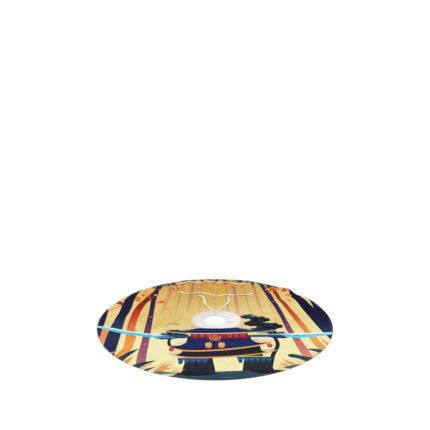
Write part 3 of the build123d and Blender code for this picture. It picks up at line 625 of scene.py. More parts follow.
for p, q, r, c in [((-0.462, -0.448), (-0.420, -0.402), (-0.372, -0.340), "3A6A6A"), ((-0.385, -0.512), (-0.335, -0.482), (-0.282, -0.448), "376466"), ((-0.325, -0.545), (-0.295, -0.522), (-0.270, -0.502), "3A5E62"),
                   ((-0.285, -0.558), (-0.240, -0.549), (-0.185, -0.556), "5AA08C"), ((0.350, -0.393), (0.400, -0.412), (0.462, -0.432), "34666A"), ((0.452, -0.332), (0.490, -0.344), (0.535, -0.362), "3A7074")]:
    strip([(*p, 0.0008), (*q, 0.0028), (*r, 0.0006)], rgb(c), step=0.005)
ground = curve([(-0.200, -0.575), (-0.130, -0.563), (-0.060, -0.551), (0.030, -0.538), (0.110, -0.533), (0.200, -0.534), (0.285, -0.540), (0.340, -0.545)])
add(np.vstack([ground, [(0.34, -0.66), (-0.20, -0.66)]]), [(0, rgb("3C5567")), (0.35, GROUND), (1, GROUND_LOW)], ((0, -0.532), (0, -0.61)))
for k in range(34):
    x = random.uniform(-0.14, 0.25)
    y = random.uniform(-0.604, -0.548)
    size = random.uniform(0.02, 0.06)
    strip([(x - size, y - 0.002, 0.0008), (x, y, random.uniform(0.003, 0.006)), (x + size, y + 0.002, 0.0008)],
          rgb(random.choice(["2C4650", "466274", "30505A", "3F6670", "2A3F49"])))
blob([(-0.170, -0.556), (-0.120, -0.546), (-0.060, -0.552), (-0.020, -0.546), (0.012, -0.556), (-0.040, -0.572), (-0.120, -0.576)], rgb("23242C"), step=0.005)
blob([(0.150, -0.536), (0.200, -0.528), (0.262, -0.522), (0.318, -0.532), (0.300, -0.552), (0.210, -0.556)], rgb("24252D"), step=0.005)


def shape_colours(index, x, y):
    """Colours of points inside a shape; index -1 is the bare background."""
    if index < 0:
        return background(x, y)
    s = shapes[index]
    c = s["colour"]
    if not isinstance(c, list):
        return np.repeat(np.asarray(c, float)[None, :], len(x), 0)
    (x0, y0), (x1, y1) = s["line"]
    dx, dy = x1 - x0, y1 - y0
    t = ((x - x0) * dx + (y - y0) * dy) / (dx * dx + dy * dy + 1e-12)
    ts = [a for a, _ in c]
    cs = np.array([b for _, b in c])
    return np.stack([np.interp(t, ts, cs[:, k]) for k in range(3)], 1)


# ------------------------------------------------------------------ meshes of the cloth
def circle(r, n):
    """Points on a circle, with one at the front of the seam line."""
    return [(r * math.cos(-math.pi / 2 + math.tau * i / n), r * math.sin(-math.pi / 2 + math.tau * i / n)) for i in range(n)]


TURNS = [(-math.sin(FOLD), math.cos(FOLD), math.cos(FOLD), math.sin(FOLD)), (math.sin(FOLD), math.cos(FOLD), -math.cos(FOLD), math.sin(FOLD))]


def triangulate(r_out, r_hole, gap, rings, spacing, outlines, n_out=360, n_hole=84):
    """Triangles of the slit disc. Returns points, triangles and the drawn shape of each triangle.
    Every layer has the same close lines beside the two fold lines."""
    pts, edges, faces = [], [], []

    def loop(points):
        a = len(pts)
        pts.extend(Vector(p) for p in points)
        edges.extend((a + i, a + (i + 1) % len(points)) for i in range(len(points)))

    def line(points):
        a = len(pts)
        pts.extend(Vector(p) for p in points)
        edges.extend((a + i, a + i + 1) for i in range(len(points) - 1))

    for d in [0.0] + rings:
        loop(circle(r_out - d, n_out))
        loop(circle(r_hole + d, n_hole))
        for sign in (-1, 1):
            ys = np.linspace(r_hole - 0.004, r_out + 0.003, 64)
            line([(sign * (gap + d), y) for y in ys])
    line([(0.0, y) for y in np.linspace(-r_out - 0.002, -r_hole + 0.002, 70)])
    for ux, uy, ax, ay in TURNS:
        for off in np.linspace(0, BEND, 21):
            reach = np.linspace(r_hole * 0.55, r_out + 0.002, int(0.55 / spacing))
            line([(ux * q + ax * off, uy * q + ay * off) for q in reach if (ux * q + ax * off) * ux > 0.0035])
    deepest = rings[-1] if rings else 0.004
    rng = random.Random(7)
    y, row = -r_out, 0
    while y < r_out:
        x = -r_out + (spacing / 2 if row % 2 else 0)
        while x < r_out:
            px, py = x + rng.uniform(-0.08, 0.08) * spacing, y + rng.uniform(-0.08, 0.08) * spacing
            r = math.hypot(px, py)
            if r_hole + deepest + spacing * 0.4 < r < r_out - deepest - spacing * 0.4:
                turning = any(-0.3 * spacing < px * ax + py * ay < BEND + 0.3 * spacing and px * ux + py * uy > 0 for ux, uy, ax, ay in TURNS)
                if not (py > 0 and abs(px) < gap + deepest + spacing * 0.4) and not (py < 0 and abs(px) < spacing * 0.35) and not turning:
                    pts.append(Vector((px, py)))
            x += spacing
        y += spacing * 0.866
        row += 1
    for outline in outlines:
        a = len(pts)
        pts.extend(Vector((float(p[0]), float(p[1]))) for p in outline)
        faces.append(list(range(a, a + len(outline))))
    out = delaunay_2d_cdt(pts, edges, faces, 0, 2e-6, True)
    v = np.array([(p[0], p[1]) for p in out[0]], float)
    t = np.array(out[2], int)
    top = np.array([max(f) if len(f) else -1 for f in out[5]], int)
    c = v[t].mean(1)
    # Inside test on the polygons that were drawn: chords, not true arcs.
    ang = np.arctan2(c[:, 1], c[:, 0]) + math.pi / 2
    r = np.hypot(c[:, 0], c[:, 1])

    def chord(radius, n):
        step = math.tau / n
        return radius * math.cos(step / 2) / np.cos((ang % step) - step / 2)

    keep = (r < chord(r_out, n_out)) & (r > chord(r_hole, n_hole)) & ~((c[:, 1] > 0) & (np.abs(c[:, 0]) < gap))
    return v, t[keep], top[keep]


def build(name, verts, faces, material, attributes, colours=None, smooth_shade=True):
    verts = settle(np.asarray(verts, float))
    mesh = bpy.data.meshes.new(name)
    mesh.from_pydata([tuple(p) for p in verts], [], [tuple(int(i) for i in f) for f in faces])
    mesh.validate(clean_customdata=False)
    if smooth_shade:
        mesh.shade_smooth()
    plan = mesh.attributes.new("plan", "FLOAT_VECTOR", "POINT")
    plan.data.foreach_set("vector", np.asarray(attributes, np.float32).ravel())
    if colours is not None:
        layer = mesh.color_attributes.new("print", "FLOAT_COLOR", "CORNER")
        layer.data.foreach_set("color", np.asarray(colours, np.float32).ravel())
    mesh.materials.append(material)
    mesh.update()
    obj = bpy.data.objects.new(name, mesh)
    bpy.context.scene.collection.objects.link(obj)
    return obj


def boundary_edges(tris):
    """Edges used by one triangle only, directed so that the triangle is on their left, with that triangle."""
    e = np.vstack([tris[:, [0, 1]], tris[:, [1, 2]], tris[:, [2, 0]]])
    owner = np.tile(np.arange(len(tris)), 3)
    key = np.sort(e, 1)
    code = key[:, 0].astype(np.int64) * (tris.max() + 1) + key[:, 1]
    _, first, count = np.unique(code, return_index=True, return_counts=True)
    keep = first[count == 1]
    return e[keep], owner[keep]


def inward(p, r_out=R_OUT, r_hole=R_HOLE, gap=GAP):
    """Direction from a finished edge into the cloth, summed where two edges meet."""
    out = np.zeros_like(p)
    r = np.hypot(p[:, 0], p[:, 1])
    u = p / r[:, None]
    out[np.abs(r - r_out) < 1.5e-4] -= u[np.abs(r - r_out) < 1.5e-4]
    out[np.abs(r - r_hole) < 1.5e-4] += u[np.abs(r - r_hole) < 1.5e-4]
    slit = (np.abs(np.abs(p[:, 0]) - gap) < 2e-5) & (p[:, 1] > 0)
    out[slit, 0] += np.sign(p[slit, 0])
    return out


# ------------------------------------------------------------------ materials
def new_material(name):
    m = bpy.data.materials.new(name)
    m.use_nodes = True
    n = m.node_tree.nodes
    return m, n, m.node_tree.links, n["Principled BSDF"]


def attribute(n, name):
    a = n.new("ShaderNodeAttribute")
    a.attribute_type = "GEOMETRY"
    a.attribute_name = name
    return a


def mapping(n, links, source, scale, turn=0.0):
    m = n.new("ShaderNodeMapping")
    m.inputs["Scale"].default_value = scale
    m.inputs["Rotation"].default_value = (0, 0, turn)
    links.new(source, m.inputs["Vector"])
    return m.outputs["Vector"]


def noise(n, links, vector, scale, detail=3.0, rough=0.55):
    t = n.new("ShaderNodeTexNoise")
    t.inputs["Scale"].default_value = scale
    t.inputs["Detail"].default_value = detail
    t.inputs["Roughness"].default_value = rough
    links.new(vector, t.inputs["Vector"])
    return t.outputs["Fac"]


def wave(n, links, vector, scale, direction="X", distortion=0.0):
    t = n.new("ShaderNodeTexWave")
    t.wave_type = "BANDS"
    t.bands_direction = direction
    t.inputs["Scale"].default_value = scale
    t.inputs["Distortion"].default_value = distortion
    t.inputs["Detail"].default_value = 1.0
    t.inputs["Detail Scale"].default_value = 2.0
    links.new(vector, t.inputs["Vector"])
    return t.outputs["Fac"]


def maths(n, links, op, a, b=None, c=None):
    m = n.new("ShaderNodeMath")
    m.operation = op
    for i, v in enumerate((a, b, c)):
        if v is None:
            continue
        if isinstance(v, (int, float)):
            m.inputs[i].default_value = v
        else:
            links.new(v, m.inputs[i])
    return m.outputs[0]


def remap(n, links, value, a, b, c, d):
    m = n.new("ShaderNodeMapRange")
    m.inputs["From Min"].default_value = a
    m.inputs["From Max"].default_value = b
    m.inputs["To Min"].default_value = c
    m.inputs["To Max"].default_value = d
    links.new(value, m.inputs["Value"])
    return m.outputs["Result"]


def shade(n, links, colour, factor):
    m = n.new("ShaderNodeVectorMath")
    m.operation = "SCALE"
    links.new(colour, m.inputs[0])
    links.new(factor, m.inputs["Scale"])
    return m.outputs[0]


def bump(n, links, heights, distance, strength, before=None):
    b = n.new("ShaderNodeBump")
    b.inputs["Distance"].default_value = distance
    b.inputs["Strength"].default_value = strength
    links.new(heights, b.inputs["Height"])
    if before is not None:
        links.new(before, b.inputs["Normal"])
    return b.outputs["Normal"]


def cloth_material(name, colour, weave_pitch, turn=0.0, contrast=0.05, mottle=0.05, relief=0.12 * MM, roughness=0.9, sheen=0.25, print_layer=False, warm=None):
    """Woven cloth: two crossing sets of yarns at weave_pitch metres, soft mottling, fibre fuzz and yarn relief."""
    m, n, links, bsdf = new_material(name)
    plan = attribute(n, "plan").outputs["Vector"]
    turned = mapping(n, links, plan, (1, 1, 1), turn)
    # Bands repeat every 2*pi/20 units of a Wave texture's scaled coordinate.
    k = (math.tau / 20) / weave_pitch
    warp = wave(n, links, turned, k, "X", 0.35)
    weft = wave(n, links, turned, k, "Y", 0.35)
    weave = maths(n, links, "MULTIPLY", warp, weft)
    soft = noise(n, links, plan, 170, 3, 0.6)
    cloud = noise(n, links, plan, 14, 2, 0.5)
    fuzz = noise(n, links, plan, 1500, 2, 0.7)
    streak = noise(n, links, mapping(n, links, plan, (260, 26, 1)), 1.0, 3, 0.6)
    f = remap(n, links, weave, 0, 1, 1 - contrast, 1 + contrast * 0.6)
    f = maths(n, links, "MULTIPLY", f, remap(n, links, soft, 0.25, 0.75, 1 - mottle, 1 + mottle * 0.8))
    f = maths(n, links, "MULTIPLY", f, remap(n, links, cloud, 0.3, 0.7, 1 - mottle * 0.5, 1 + mottle * 0.4))
    f = maths(n, links, "MULTIPLY", f, remap(n, links, fuzz, 0.3, 0.7, 1 - mottle * 0.6, 1 + mottle * 0.6))
    if print_layer:
        f = maths(n, links, "MULTIPLY", f, remap(n, links, streak, 0.3, 0.7, 0.955, 1.04))
        source = attribute(n, "print").outputs["Color"]
        # Ink takes unevenly on the brushed nap, most visibly where it is dark.
        value = n.new("ShaderNodeRGBToBW")
        links.new(source, value.inputs["Color"])
        uneven = remap(n, links, noise(n, links, plan, 88, 2, 0.62), 0.3, 0.7, -1, 1)
        amount = remap(n, links, value.outputs["Val"], 0.004, 0.20, 0.27, 0.048)
        f = maths(n, links, "MULTIPLY", f, maths(n, links, "MULTIPLY_ADD", uneven, amount, 1.0))
        # The white nap shows through dark ink as a faint haze.
        lift = n.new("ShaderNodeMix")
        lift.data_type = "RGBA"
        lift.inputs["B"].default_value = (0.60, 0.58, 0.55, 1)
        links.new(remap(n, links, maths(n, links, "MULTIPLY", fuzz, soft), 0.16, 0.42, 0.0, 0.010), lift.inputs["Factor"])
        links.new(source, lift.inputs["A"])
        source = lift.outputs["Result"]
    else:
        tint = n.new("ShaderNodeMix")
        tint.data_type = "RGBA"
        tint.inputs["A"].default_value = (*ink(colour), 1)
        tint.inputs["B"].default_value = (*ink(warm if warm is not None else np.asarray(colour) * 0.93), 1)
        links.new(remap(n, links, cloud, 0.35, 0.75, 0, 0.8), tint.inputs["Factor"])
        source = tint.outputs["Result"]
    links.new(shade(n, links, source, f), bsdf.inputs["Base Color"])
    rough = maths(n, links, "MULTIPLY", remap(n, links, soft, 0.3, 0.7, roughness - 0.06, roughness + 0.05), remap(n, links, weave, 0, 1, 1.02, 0.97))
    links.new(rough, bsdf.inputs["Roughness"])
    nap = bump(n, links, soft, 0.35 * MM, 0.5)
    nap = bump(n, links, fuzz, 0.10 * MM, 0.55, nap)
    links.new(bump(n, links, weave, relief, 0.8, nap), bsdf.inputs["Normal"])
    bsdf.inputs["Specular IOR Level"].default_value = 0.05 if print_layer else 0.28
    bsdf.inputs["Sheen Weight"].default_value = sheen
    bsdf.inputs["Sheen Roughness"].default_value = 0.45
    return m


printed = cloth_material("printed_brushed_cloth", (1, 1, 1), 1.3 * MM, math.radians(8), 0.055, 0.055, 0.16 * MM, 0.90, 0.0, print_layer=True)
lining_cloth = cloth_material("white_lining_weave", rgb("E9E7E1"), 1.0 * MM, 0.0, 0.07, 0.04, 0.10 * MM, 0.82, 0.12, warm=rgb("DEDACF"))
wadding_fleece = cloth_material("wadding_fleece", rgb("F1F0EC"), 5.0 * MM, 0.6, 0.03, 0.10, 0.25 * MM, 0.95, 0.30, warm=rgb("E4E2DC"))


def tape_material():
    """Herringbone cotton tape: the twill turns over at the middle of the tape."""
    m, n, links, bsdf = new_material("herringbone_tape")
    plan = attribute(n, "plan").outputs["Vector"]  # x along the tape, y across it
    split = n.new("ShaderNodeSeparateXYZ")
    links.new(plan, split.inputs[0])
    across = maths(n, links, "PINGPONG", split.outputs["Y"], 3.25 * MM)
    join = n.new("ShaderNodeCombineXYZ")
    links.new(maths(n, links, "ADD", split.outputs["X"], across), join.inputs["X"])
    links.new(split.outputs["Y"], join.inputs["Y"])
    twill = wave(n, links, join.outputs[0], (math.tau / 20) / (1.5 * MM), "X", 0.2)
    fuzz = noise(n, links, plan, 1400, 2, 0.7)
    cloud = noise(n, links, plan, 30, 2, 0.5)
    f = maths(n, links, "MULTIPLY", remap(n, links, twill, 0, 1, 0.90, 1.03), remap(n, links, fuzz, 0.3, 0.7, 0.95, 1.04))
    tint = n.new("ShaderNodeMix")
    tint.data_type = "RGBA"
    tint.inputs["A"].default_value = (*ink(rgb("E3DDCB")), 1)
    tint.inputs["B"].default_value = (*ink(rgb("D6CDB6")), 1)
    links.new(remap(n, links, cloud, 0.35, 0.7, 0, 1), tint.inputs["Factor"])
    links.new(shade(n, links, tint.outputs["Result"], f), bsdf.inputs["Base Color"])
    links.new(remap(n, links, twill, 0, 1, 0.92, 0.80), bsdf.inputs["Roughness"])
    nap = bump(n, links, fuzz, 0.06 * MM, 0.5)
    links.new(bump(n, links, twill, 0.12 * MM, 0.8, nap), bsdf.inputs["Normal"])
    bsdf.inputs["Sheen Weight"].default_value = 0.15
    return m


def thread_material():
    m, n, links, bsdf = new_material("twisted_thread")
    plan = attribute(n, "plan").outputs["Vector"]  # x along the thread, y round it
    twist = wave(n, links, mapping(n, links, plan, (1, 1, 1), math.radians(35)), (math.tau / 20) / (0.35 * MM), "X", 0.1)
    cloud = noise(n, links, plan, 60, 2, 0.5)
    tint = n.new("ShaderNodeMix")
    tint.data_type = "RGBA"
    tint.inputs["A"].default_value = (*ink(rgb("A8946E")), 1)
    tint.inputs["B"].default_value = (*ink(rgb("907D5C")), 1)
    links.new(remap(n, links, cloud, 0.3, 0.7, 0, 1), tint.inputs["Factor"])
    links.new(shade(n, links, tint.outputs["Result"], remap(n, links, twist, 0, 1, 0.82, 1.08)), bsdf.inputs["Base Color"])
    links.new(remap(n, links, twist, 0, 1, 0.62, 0.45), bsdf.inputs["Roughness"])
    links.new(bump(n, links, twist, 0.05 * MM, 0.8), bsdf.inputs["Normal"])
    bsdf.inputs["Sheen Weight"].default_value = 0.1
    return m


def ribbon_material():
    """Satin ribbon: fine ribs across, a firm woven edge each side, and a soft sheen."""
    m, n, links, bsdf = new_material("satin_ribbon")
    plan = attribute(n, "plan").outputs["Vector"]  # x along the ribbon, y across it, 0 at the middle
    split = n.new("ShaderNodeSeparateXYZ")
    links.new(plan, split.inputs[0])
    ribs = wave(n, links, plan, (math.tau / 20) / (0.55 * MM), "X", 0.25)
    floats = noise(n, links, mapping(n, links, plan, (120, 3200, 1)), 1.0, 2, 0.6)
    cloud = noise(n, links, plan, 45, 2, 0.5)
    side = maths(n, links, "ABSOLUTE", split.outputs["Y"])
    selvedge = remap(n, links, side, 4.9 * MM, 5.3 * MM, 0, 1)
    f = maths(n, links, "MULTIPLY", remap(n, links, ribs, 0, 1, 0.95, 1.02), remap(n, links, floats, 0.3, 0.7, 0.96, 1.03))
    f = maths(n, links, "MULTIPLY", f, remap(n, links, selvedge, 0, 1, 1.0, 0.93))
    tint = n.new("ShaderNodeMix")
    tint.data_type = "RGBA"
    tint.inputs["A"].default_value = (*ink(rgb("F3E9C9")), 1)
    tint.inputs["B"].default_value = (*ink(rgb("E7D9B0")), 1)
    links.new(remap(n, links, cloud, 0.35, 0.7, 0, 0.8), tint.inputs["Factor"])
    links.new(shade(n, links, tint.outputs["Result"], f), bsdf.inputs["Base Color"])
    links.new(maths(n, links, "ADD", remap(n, links, floats, 0.3, 0.7, 0.36, 0.46), remap(n, links, selvedge, 0, 1, 0, 0.16)), bsdf.inputs["Roughness"])
    fine = bump(n, links, floats, 0.03 * MM, 0.5)
    fine = bump(n, links, ribs, 0.05 * MM, 0.7, fine)
    links.new(bump(n, links, selvedge, 0.12 * MM, 0.6, fine), bsdf.inputs["Normal"])
    bsdf.inputs["Sheen Weight"].default_value = 0.2
    bsdf.inputs["Anisotropic"].default_value = 0.4
    return m


tape = tape_material()
thread = thread_material()
satin = ribbon_material()

SIDES = {"left": -1, "right": 1}


def fold_blend(obj):
    """Bakes the object's placement into its mesh."""
    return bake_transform(obj)


def thicken(obj, thickness):
    """Gives a sheet its cloth's thickness on the inner side."""
    count = len(obj.data.polygons)
    m = obj.modifiers.new("thickness", "SOLIDIFY")
    m.thickness = thickness
    m.offset = -1
    m.use_even_offset = False
    m.use_rim = True
    bpy.context.view_layer.update()
    solid = bpy.data.meshes.new_from_object(obj.evaluated_get(bpy.context.evaluated_depsgraph_get()))
    obj.modifiers.remove(m)
    sheet = obj.data
    obj.data = solid
    bpy.data.meshes.remove(sheet)
    # The closing walls get corners of their own, so they do not bend the shading of the face.
    bm = bmesh.new()
    bm.from_mesh(solid)
    seams = [e for e in bm.edges if len(e.link_faces) == 2 and (e.link_faces[0].index < 2 * count) != (e.link_faces[1].index < 2 * count)]
    bmesh.ops.split_edges(bm, edges=seams)
    bm.to_mesh(solid)
    bm.free()
    solid.update()


# ------------------------------------------------------------------ printed face
v, tris, drawn = triangulate(R_OUT, R_HOLE, GAP, RINGS, 0.0105, [s["outline"] for s in shapes])
z = face_z(v[:, 0], v[:, 1])
corner_colour = np.ones((len(tris), 3, 4))
for index in np.unique(drawn):
    rows = np.nonzero(drawn == index)[0]
    p = v[tris[rows]].reshape(-1, 2)
    corner_colour[rows, :, :3] = ink(shape_colours(int(index), p[:, 0], p[:, 1])).reshape(len(rows), 3, 3)
centre_x = v[tris][:, :, 0].mean(1)
UNDER = [(0.25 * MM, 1.10 * MM), (0.8 * MM, 0.75 * MM), (1.8 * MM, 0.62 * MM), (3.2 * MM, 0.60 * MM)]
for side, s in SIDES.items():
    pick = np.nonzero(np.sign(centre_x) == s)[0]
    t = tris[pick]
    used, flat_index = np.unique(t, return_inverse=True)
    t = flat_index.reshape(-1, 3)
    p = v[used]
    verts = [np.column_stack([p, z[used]])]
    plans = [np.column_stack([p, np.zeros(len(p))])]
    colours = [corner_colour[pick].reshape(-1, 4)]
    polys = [tuple(x) for x in t]
    # Turn the finished edges round and under.
    be, owner = boundary_edges(t)
    n_in = inward(p)
    rim = (np.abs(n_in[be[:, 0]]).sum(1) > 0) & (np.abs(n_in[be[:, 1]]).sum(1) > 0) & ~((np.abs(p[be[:, 0], 0]) < 1e-6) & (np.abs(p[be[:, 1], 0]) < 1e-6))
    be, owner = be[rim], owner[rim]
    edge_verts = np.unique(be)
    slot_of = {int(i): k for k, i in enumerate(edge_verts)}
    base = len(p)
    ep, en = p[edge_verts], n_in[edge_verts]
    eh = height(ep[:, 0], ep[:, 1])
    for k, (d, zz) in enumerate(UNDER):
        q = ep + en * d
        verts.append(np.column_stack([q, zz + eh]))
        plans.append(np.column_stack([ep - en * (k + 1) * 0.7 * MM, np.zeros(len(ep))]))
    m = len(edge_verts)
    tri_colour = corner_colour[pick]
    extra = []
    for (a, b), o in zip(be, owner):
        ca = tri_colour[o][list(t[o]).index(a)]
        cb = tri_colour[o][list(t[o]).index(b)]
        ia, ib = slot_of[int(a)], slot_of[int(b)]
        ring_a = [a] + [base + k * m + ia for k in range(len(UNDER))]
        ring_b = [b] + [base + k * m + ib for k in range(len(UNDER))]
        for k in range(len(UNDER)):
            polys.append((ring_b[k], ring_a[k], ring_a[k + 1], ring_b[k + 1]))
            extra.extend([cb, ca, ca, cb])
    colours.append(np.array(extra))
    obj = build(f"{side}_printed_face", np.vstack(verts), polys, printed, np.vstack(plans), np.vstack(colours))
    thicken(obj, 0.30 * MM)
    fold_blend(obj)
    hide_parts(f"{side}_flap_face", "face_panel")


# ------------------------------------------------------------------ wadding and lining
def layer(name, side, inset, z0, z1, material, spacing, crease=0.0):
    """Closed slab of one cloth layer, half the skirt, following the ground."""
    r_out, r_hole, gap = R_OUT - inset, R_HOLE + inset, GAP + inset
    v, t, _ = triangulate(r_out, r_hole, gap, [0.6 * MM], spacing, [], n_out=240, n_hole=60)
    s = SIDES[side]
    pick = np.sign(v[t][:, :, 0].mean(1)) == s
    used, index = np.unique(t[pick], return_inverse=True)
    t = index.reshape(-1, 3)
    p = v[used]
    h = height(p[:, 0], p[:, 1])
    n = len(p)
    edge = np.minimum(np.minimum(r_out - np.hypot(*p.T), np.hypot(*p.T) - r_hole), np.where(p[:, 1] > 0, np.abs(p[:, 0]) - gap, 9))
    pinch = (1 - smooth(edge / (0.6 * MM))) * (z1 - z0) * 0.3
    verts = np.vstack([np.column_stack([p, z1 + h - pinch]), np.column_stack([p, z0 + h + pinch])])
    faces = [tuple(x) for x in t] + [(n + c, n + b, n + a) for a, b, c in t]
    be, _ = boundary_edges(t)
    faces += [(b, a, n + a, n + b) for a, b in be]
    return build(name, verts, faces, material, np.vstack([np.column_stack([p, np.zeros(n)])] * 2))


for side in SIDES:
    w = layer(f"{side}_wadding", side, 5.7 * MM, 1.12 * MM, 2.26 * MM, wadding_fleece, 0.016)
    fold_blend(w)
    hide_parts(f"{side}_flap_wadding", "wadding_panel")
    l = layer(f"{side}_lining", side, 4.3 * MM, 0.52 * MM, 1.06 * MM, lining_cloth, 0.013)
    fold_blend(l)
    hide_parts(f"{side}_flap_lining", "lining_panel")


# ------------------------------------------------------------------ facing tapes
def band(name, centre, material, width=12.4 * MM, z0=0.14 * MM, z1=0.48 * MM):
    """Flat tape along a line of points, with softly rounded edges."""
    c = np.array(centre, float)
    t = np.gradient(c, axis=0)
    t /= np.linalg.norm(t, axis=1)[:, None]
    side = np.stack([-t[:, 1], t[:, 0]], 1)
    run = np.concatenate([[0], np.cumsum(np.linalg.norm(np.diff(c, axis=0), axis=1))])
    section = [(-0.5, 0.5), (-0.49, 0.85), (-0.46, 1), (-0.25, 1), (0, 1), (0.25, 1), (0.46, 1), (0.49, 0.85), (0.5, 0.5), (0.49, 0.15), (0.46, 0), (0.25, 0), (0, 0), (-0.25, 0), (-0.46, 0), (-0.49, 0.15)]
    verts, plans = [], []
    for u, f in section:
        q = c + side * (u * width)
        verts.append(np.column_stack([q, z0 + (z1 - z0) * f + height(q[:, 0], q[:, 1])]))
        plans.append(np.column_stack([run, np.full(len(c), u * width), np.full(len(c), f * 0.3 * MM)]))
    k, m = len(section), len(c)
    verts, plans = np.stack(verts, 1).reshape(-1, 3), np.stack(plans, 1).reshape(-1, 3)
    faces = [(i * k + j, (i + 1) * k + j, (i + 1) * k + (j + 1) % k, i * k + (j + 1) % k) for i in range(m - 1) for j in range(k)]
    faces.append(tuple(range(k)))
    faces.append(tuple((m - 1) * k + j for j in reversed(range(k))))
    return build(name, verts, faces, material, plans)


def arc(radius, a0, a1, step):
    n = max(3, int(abs(a1 - a0) * radius / step))
    return [(radius * math.cos(a), radius * math.sin(a)) for a in np.linspace(a0, a1, n)]


TAPE_IN = 6.9 * MM
for side, s in SIDES.items():
    r_rim, r_hole, x_slit = R_OUT - TAPE_IN, R_HOLE + TAPE_IN, GAP + TAPE_IN
    front = -math.pi / 2
    # The slit tape runs the full length; the curved tapes stop against it.
    end_rim = math.acos((x_slit + 6.6 * MM) / r_rim)
    end_hole = math.acos((x_slit + 6.6 * MM) / r_hole)
    for part, radius, end, step, nodes in (
        ("rim", r_rim, end_rim, 0.0022, (f"{side}_rim_facing", "rim_facing")),
        ("centre", r_hole, end_hole, 0.0018, (f"{side}_centre_facing", "centre_facing")),
    ):
        points = arc(radius, front, end, step)
        points = [(s * x, y) for x, y in points]
        b = band(f"{side}_{part}_tape", points, tape)
        fold_blend(b)
        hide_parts(*nodes)
    ys = np.linspace(R_HOLE + 0.4 * MM, R_OUT - 0.4 * MM, 90)
    b = band(f"{side}_slit_tape", [(s * x_slit, y) for y in ys], tape)
    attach(b, f"{side}_flap")
    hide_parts(f"{side}_slit_facing")


# ------------------------------------------------------------------ stitches
def tube_pieces(name, pieces, material, around=6):
    """Many short threads in one mesh. Each piece is a list of (x, y, z) points and a radius for each."""
    verts, faces, plans = [], [], []
    run = 0.0
    for points, radii in pieces:
        p, rad = np.array(points, float), np.array(radii, float)
        t = np.gradient(p, axis=0)
        t /= np.linalg.norm(t, axis=1)[:, None] + 1e-12
        side = np.cross(t, (0, 0, 1.0))
        side /= np.linalg.norm(side, axis=1)[:, None] + 1e-9
        up = np.cross(side, t)
        base, n = len(verts), len(p)
        along = run + np.concatenate([[0], np.cumsum(np.linalg.norm(np.diff(p, axis=0), axis=1))])
        run = along[-1]
        for i in range(n):
            for k in range(around):
                a = math.tau * k / around
                verts.append(p[i] + side[i] * rad[i] * math.cos(a) + up[i] * rad[i] * math.sin(a))
                plans.append((along[i], a * rad[i], 0))
        for i in range(n - 1):
            for k in range(around):
                a, b = base + i * around + k, base + i * around + (k + 1) % around
                faces.append((a, a + around, b + around, b))
        faces.append(tuple(base + k for k in range(around)))
        faces.append(tuple(base + (n - 1) * around + k for k in reversed(range(around))))
    return build(name, verts, faces, material, plans)


def stitch_row(points, above, length=2.9 * MM, gap=0.45 * MM, thick=0.30 * MM, seed=1):
    """Lock stitches along a line: each dips into the cloth at its ends."""
    c = np.array(points, float)
    seg = np.linalg.norm(np.diff(c, axis=0), axis=1)
    run = np.concatenate([[0], np.cumsum(seg)])
    total, rng, out, s = run[-1], random.Random(seed), [], gap
    while s + length < total - gap:
        n = length * (1 + rng.uniform(-0.05, 0.05))
        pts, radii = [], []
        off = rng.uniform(-0.06, 0.06) * MM
        for f in (0.0, 0.12, 0.35, 0.65, 0.88, 1.0):
            d = s + n * f
            x, y = np.interp(d, run, c[:, 0]), np.interp(d, run, c[:, 1])
            arch = math.sin(math.pi * f) ** 0.5
            if above:
                z = 2.60 * MM + 0.16 * MM * arch - 0.18 * MM * (1 - arch)
            else:
                z = 0.30 * MM - 0.11 * MM * arch
            pts.append((x + off, y + off, z + float(height(x, y))))
            radii.append((thick if above else 0.17 * MM) * (0.45 + 0.55 * arch))
        out.append((pts, radii))
        s += n + gap
    return out


for side, s in SIDES.items():
    rows = []
    end = math.acos((GAP + STITCH_IN) / (R_OUT - STITCH_IN))
    end_h = math.acos((GAP + STITCH_IN) / (R_HOLE + STITCH_IN))
    rim_line = [(s * x, y) for x, y in arc(R_OUT - STITCH_IN, -math.pi / 2 + 0.0004, end, 0.008)]
    hole_line = [(s * x, y) for x, y in arc(R_HOLE + STITCH_IN, -math.pi / 2 + 0.004, end_h, 0.003)]
    slit_line = [(s * (GAP + STITCH_IN), y) for y in np.linspace(R_HOLE + STITCH_IN + 0.001, R_OUT - STITCH_IN - 0.002, 120)]
    for k, above in enumerate((True, False)):
        rows += stitch_row(rim_line, above, seed=3 + k)
        rows += stitch_row(hole_line, above, seed=5 + k)
    edge = tube_pieces(f"{side}_edge_stitching", rows, thread, 5)
    fold_blend(edge)
    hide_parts("rim_topstitch", "centre_topstitch", f"{side}_topstitch")
    rows = []
    for k, above in enumerate((True, False)):
        rows += stitch_row(slit_line, above, seed=7 + k)
    slit = tube_pieces(f"{side}_slit_stitching", rows, thread, 5)
    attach(slit, f"{side}_flap")
    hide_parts(f"{side}_topstitch")
    # Bartacks: a dense zigzag across the sewn-in end of each ribbon.
    tacks = []
    for station in STATIONS:
        y0 = station - s * TIE_OFFSET
        n = 26
        pts, radii = [], []
        for i in range(n + 1):
            y = y0 - 5 * MM + 10 * MM * i / n
            x = s * (3.6 * MM + (0.85 * MM if i % 2 else -0.85 * MM))
            pts.append((x, y, 3.28 * MM + float(height(x, y)) - (0.05 * MM if i % 2 else 0)))
            radii.append(0.19 * MM)
        tacks.append((pts, radii))
        for dx in (-0.35, 0.35):
            pts = [(s * (3.6 + dx) * MM, y0 + f * 4.6 * MM, 3.14 * MM + float(height(s * 3.6 * MM, y0 + f * 4.6 * MM))) for f in np.linspace(-1, 1, 5)]
            tacks.append((pts, [0.18 * MM] * 5))
    b = tube_pieces(f"{side}_bartack_stitching", tacks, thread, 6)
    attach(b, f"{side}_flap")
    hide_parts(f"{side}_bartacks")


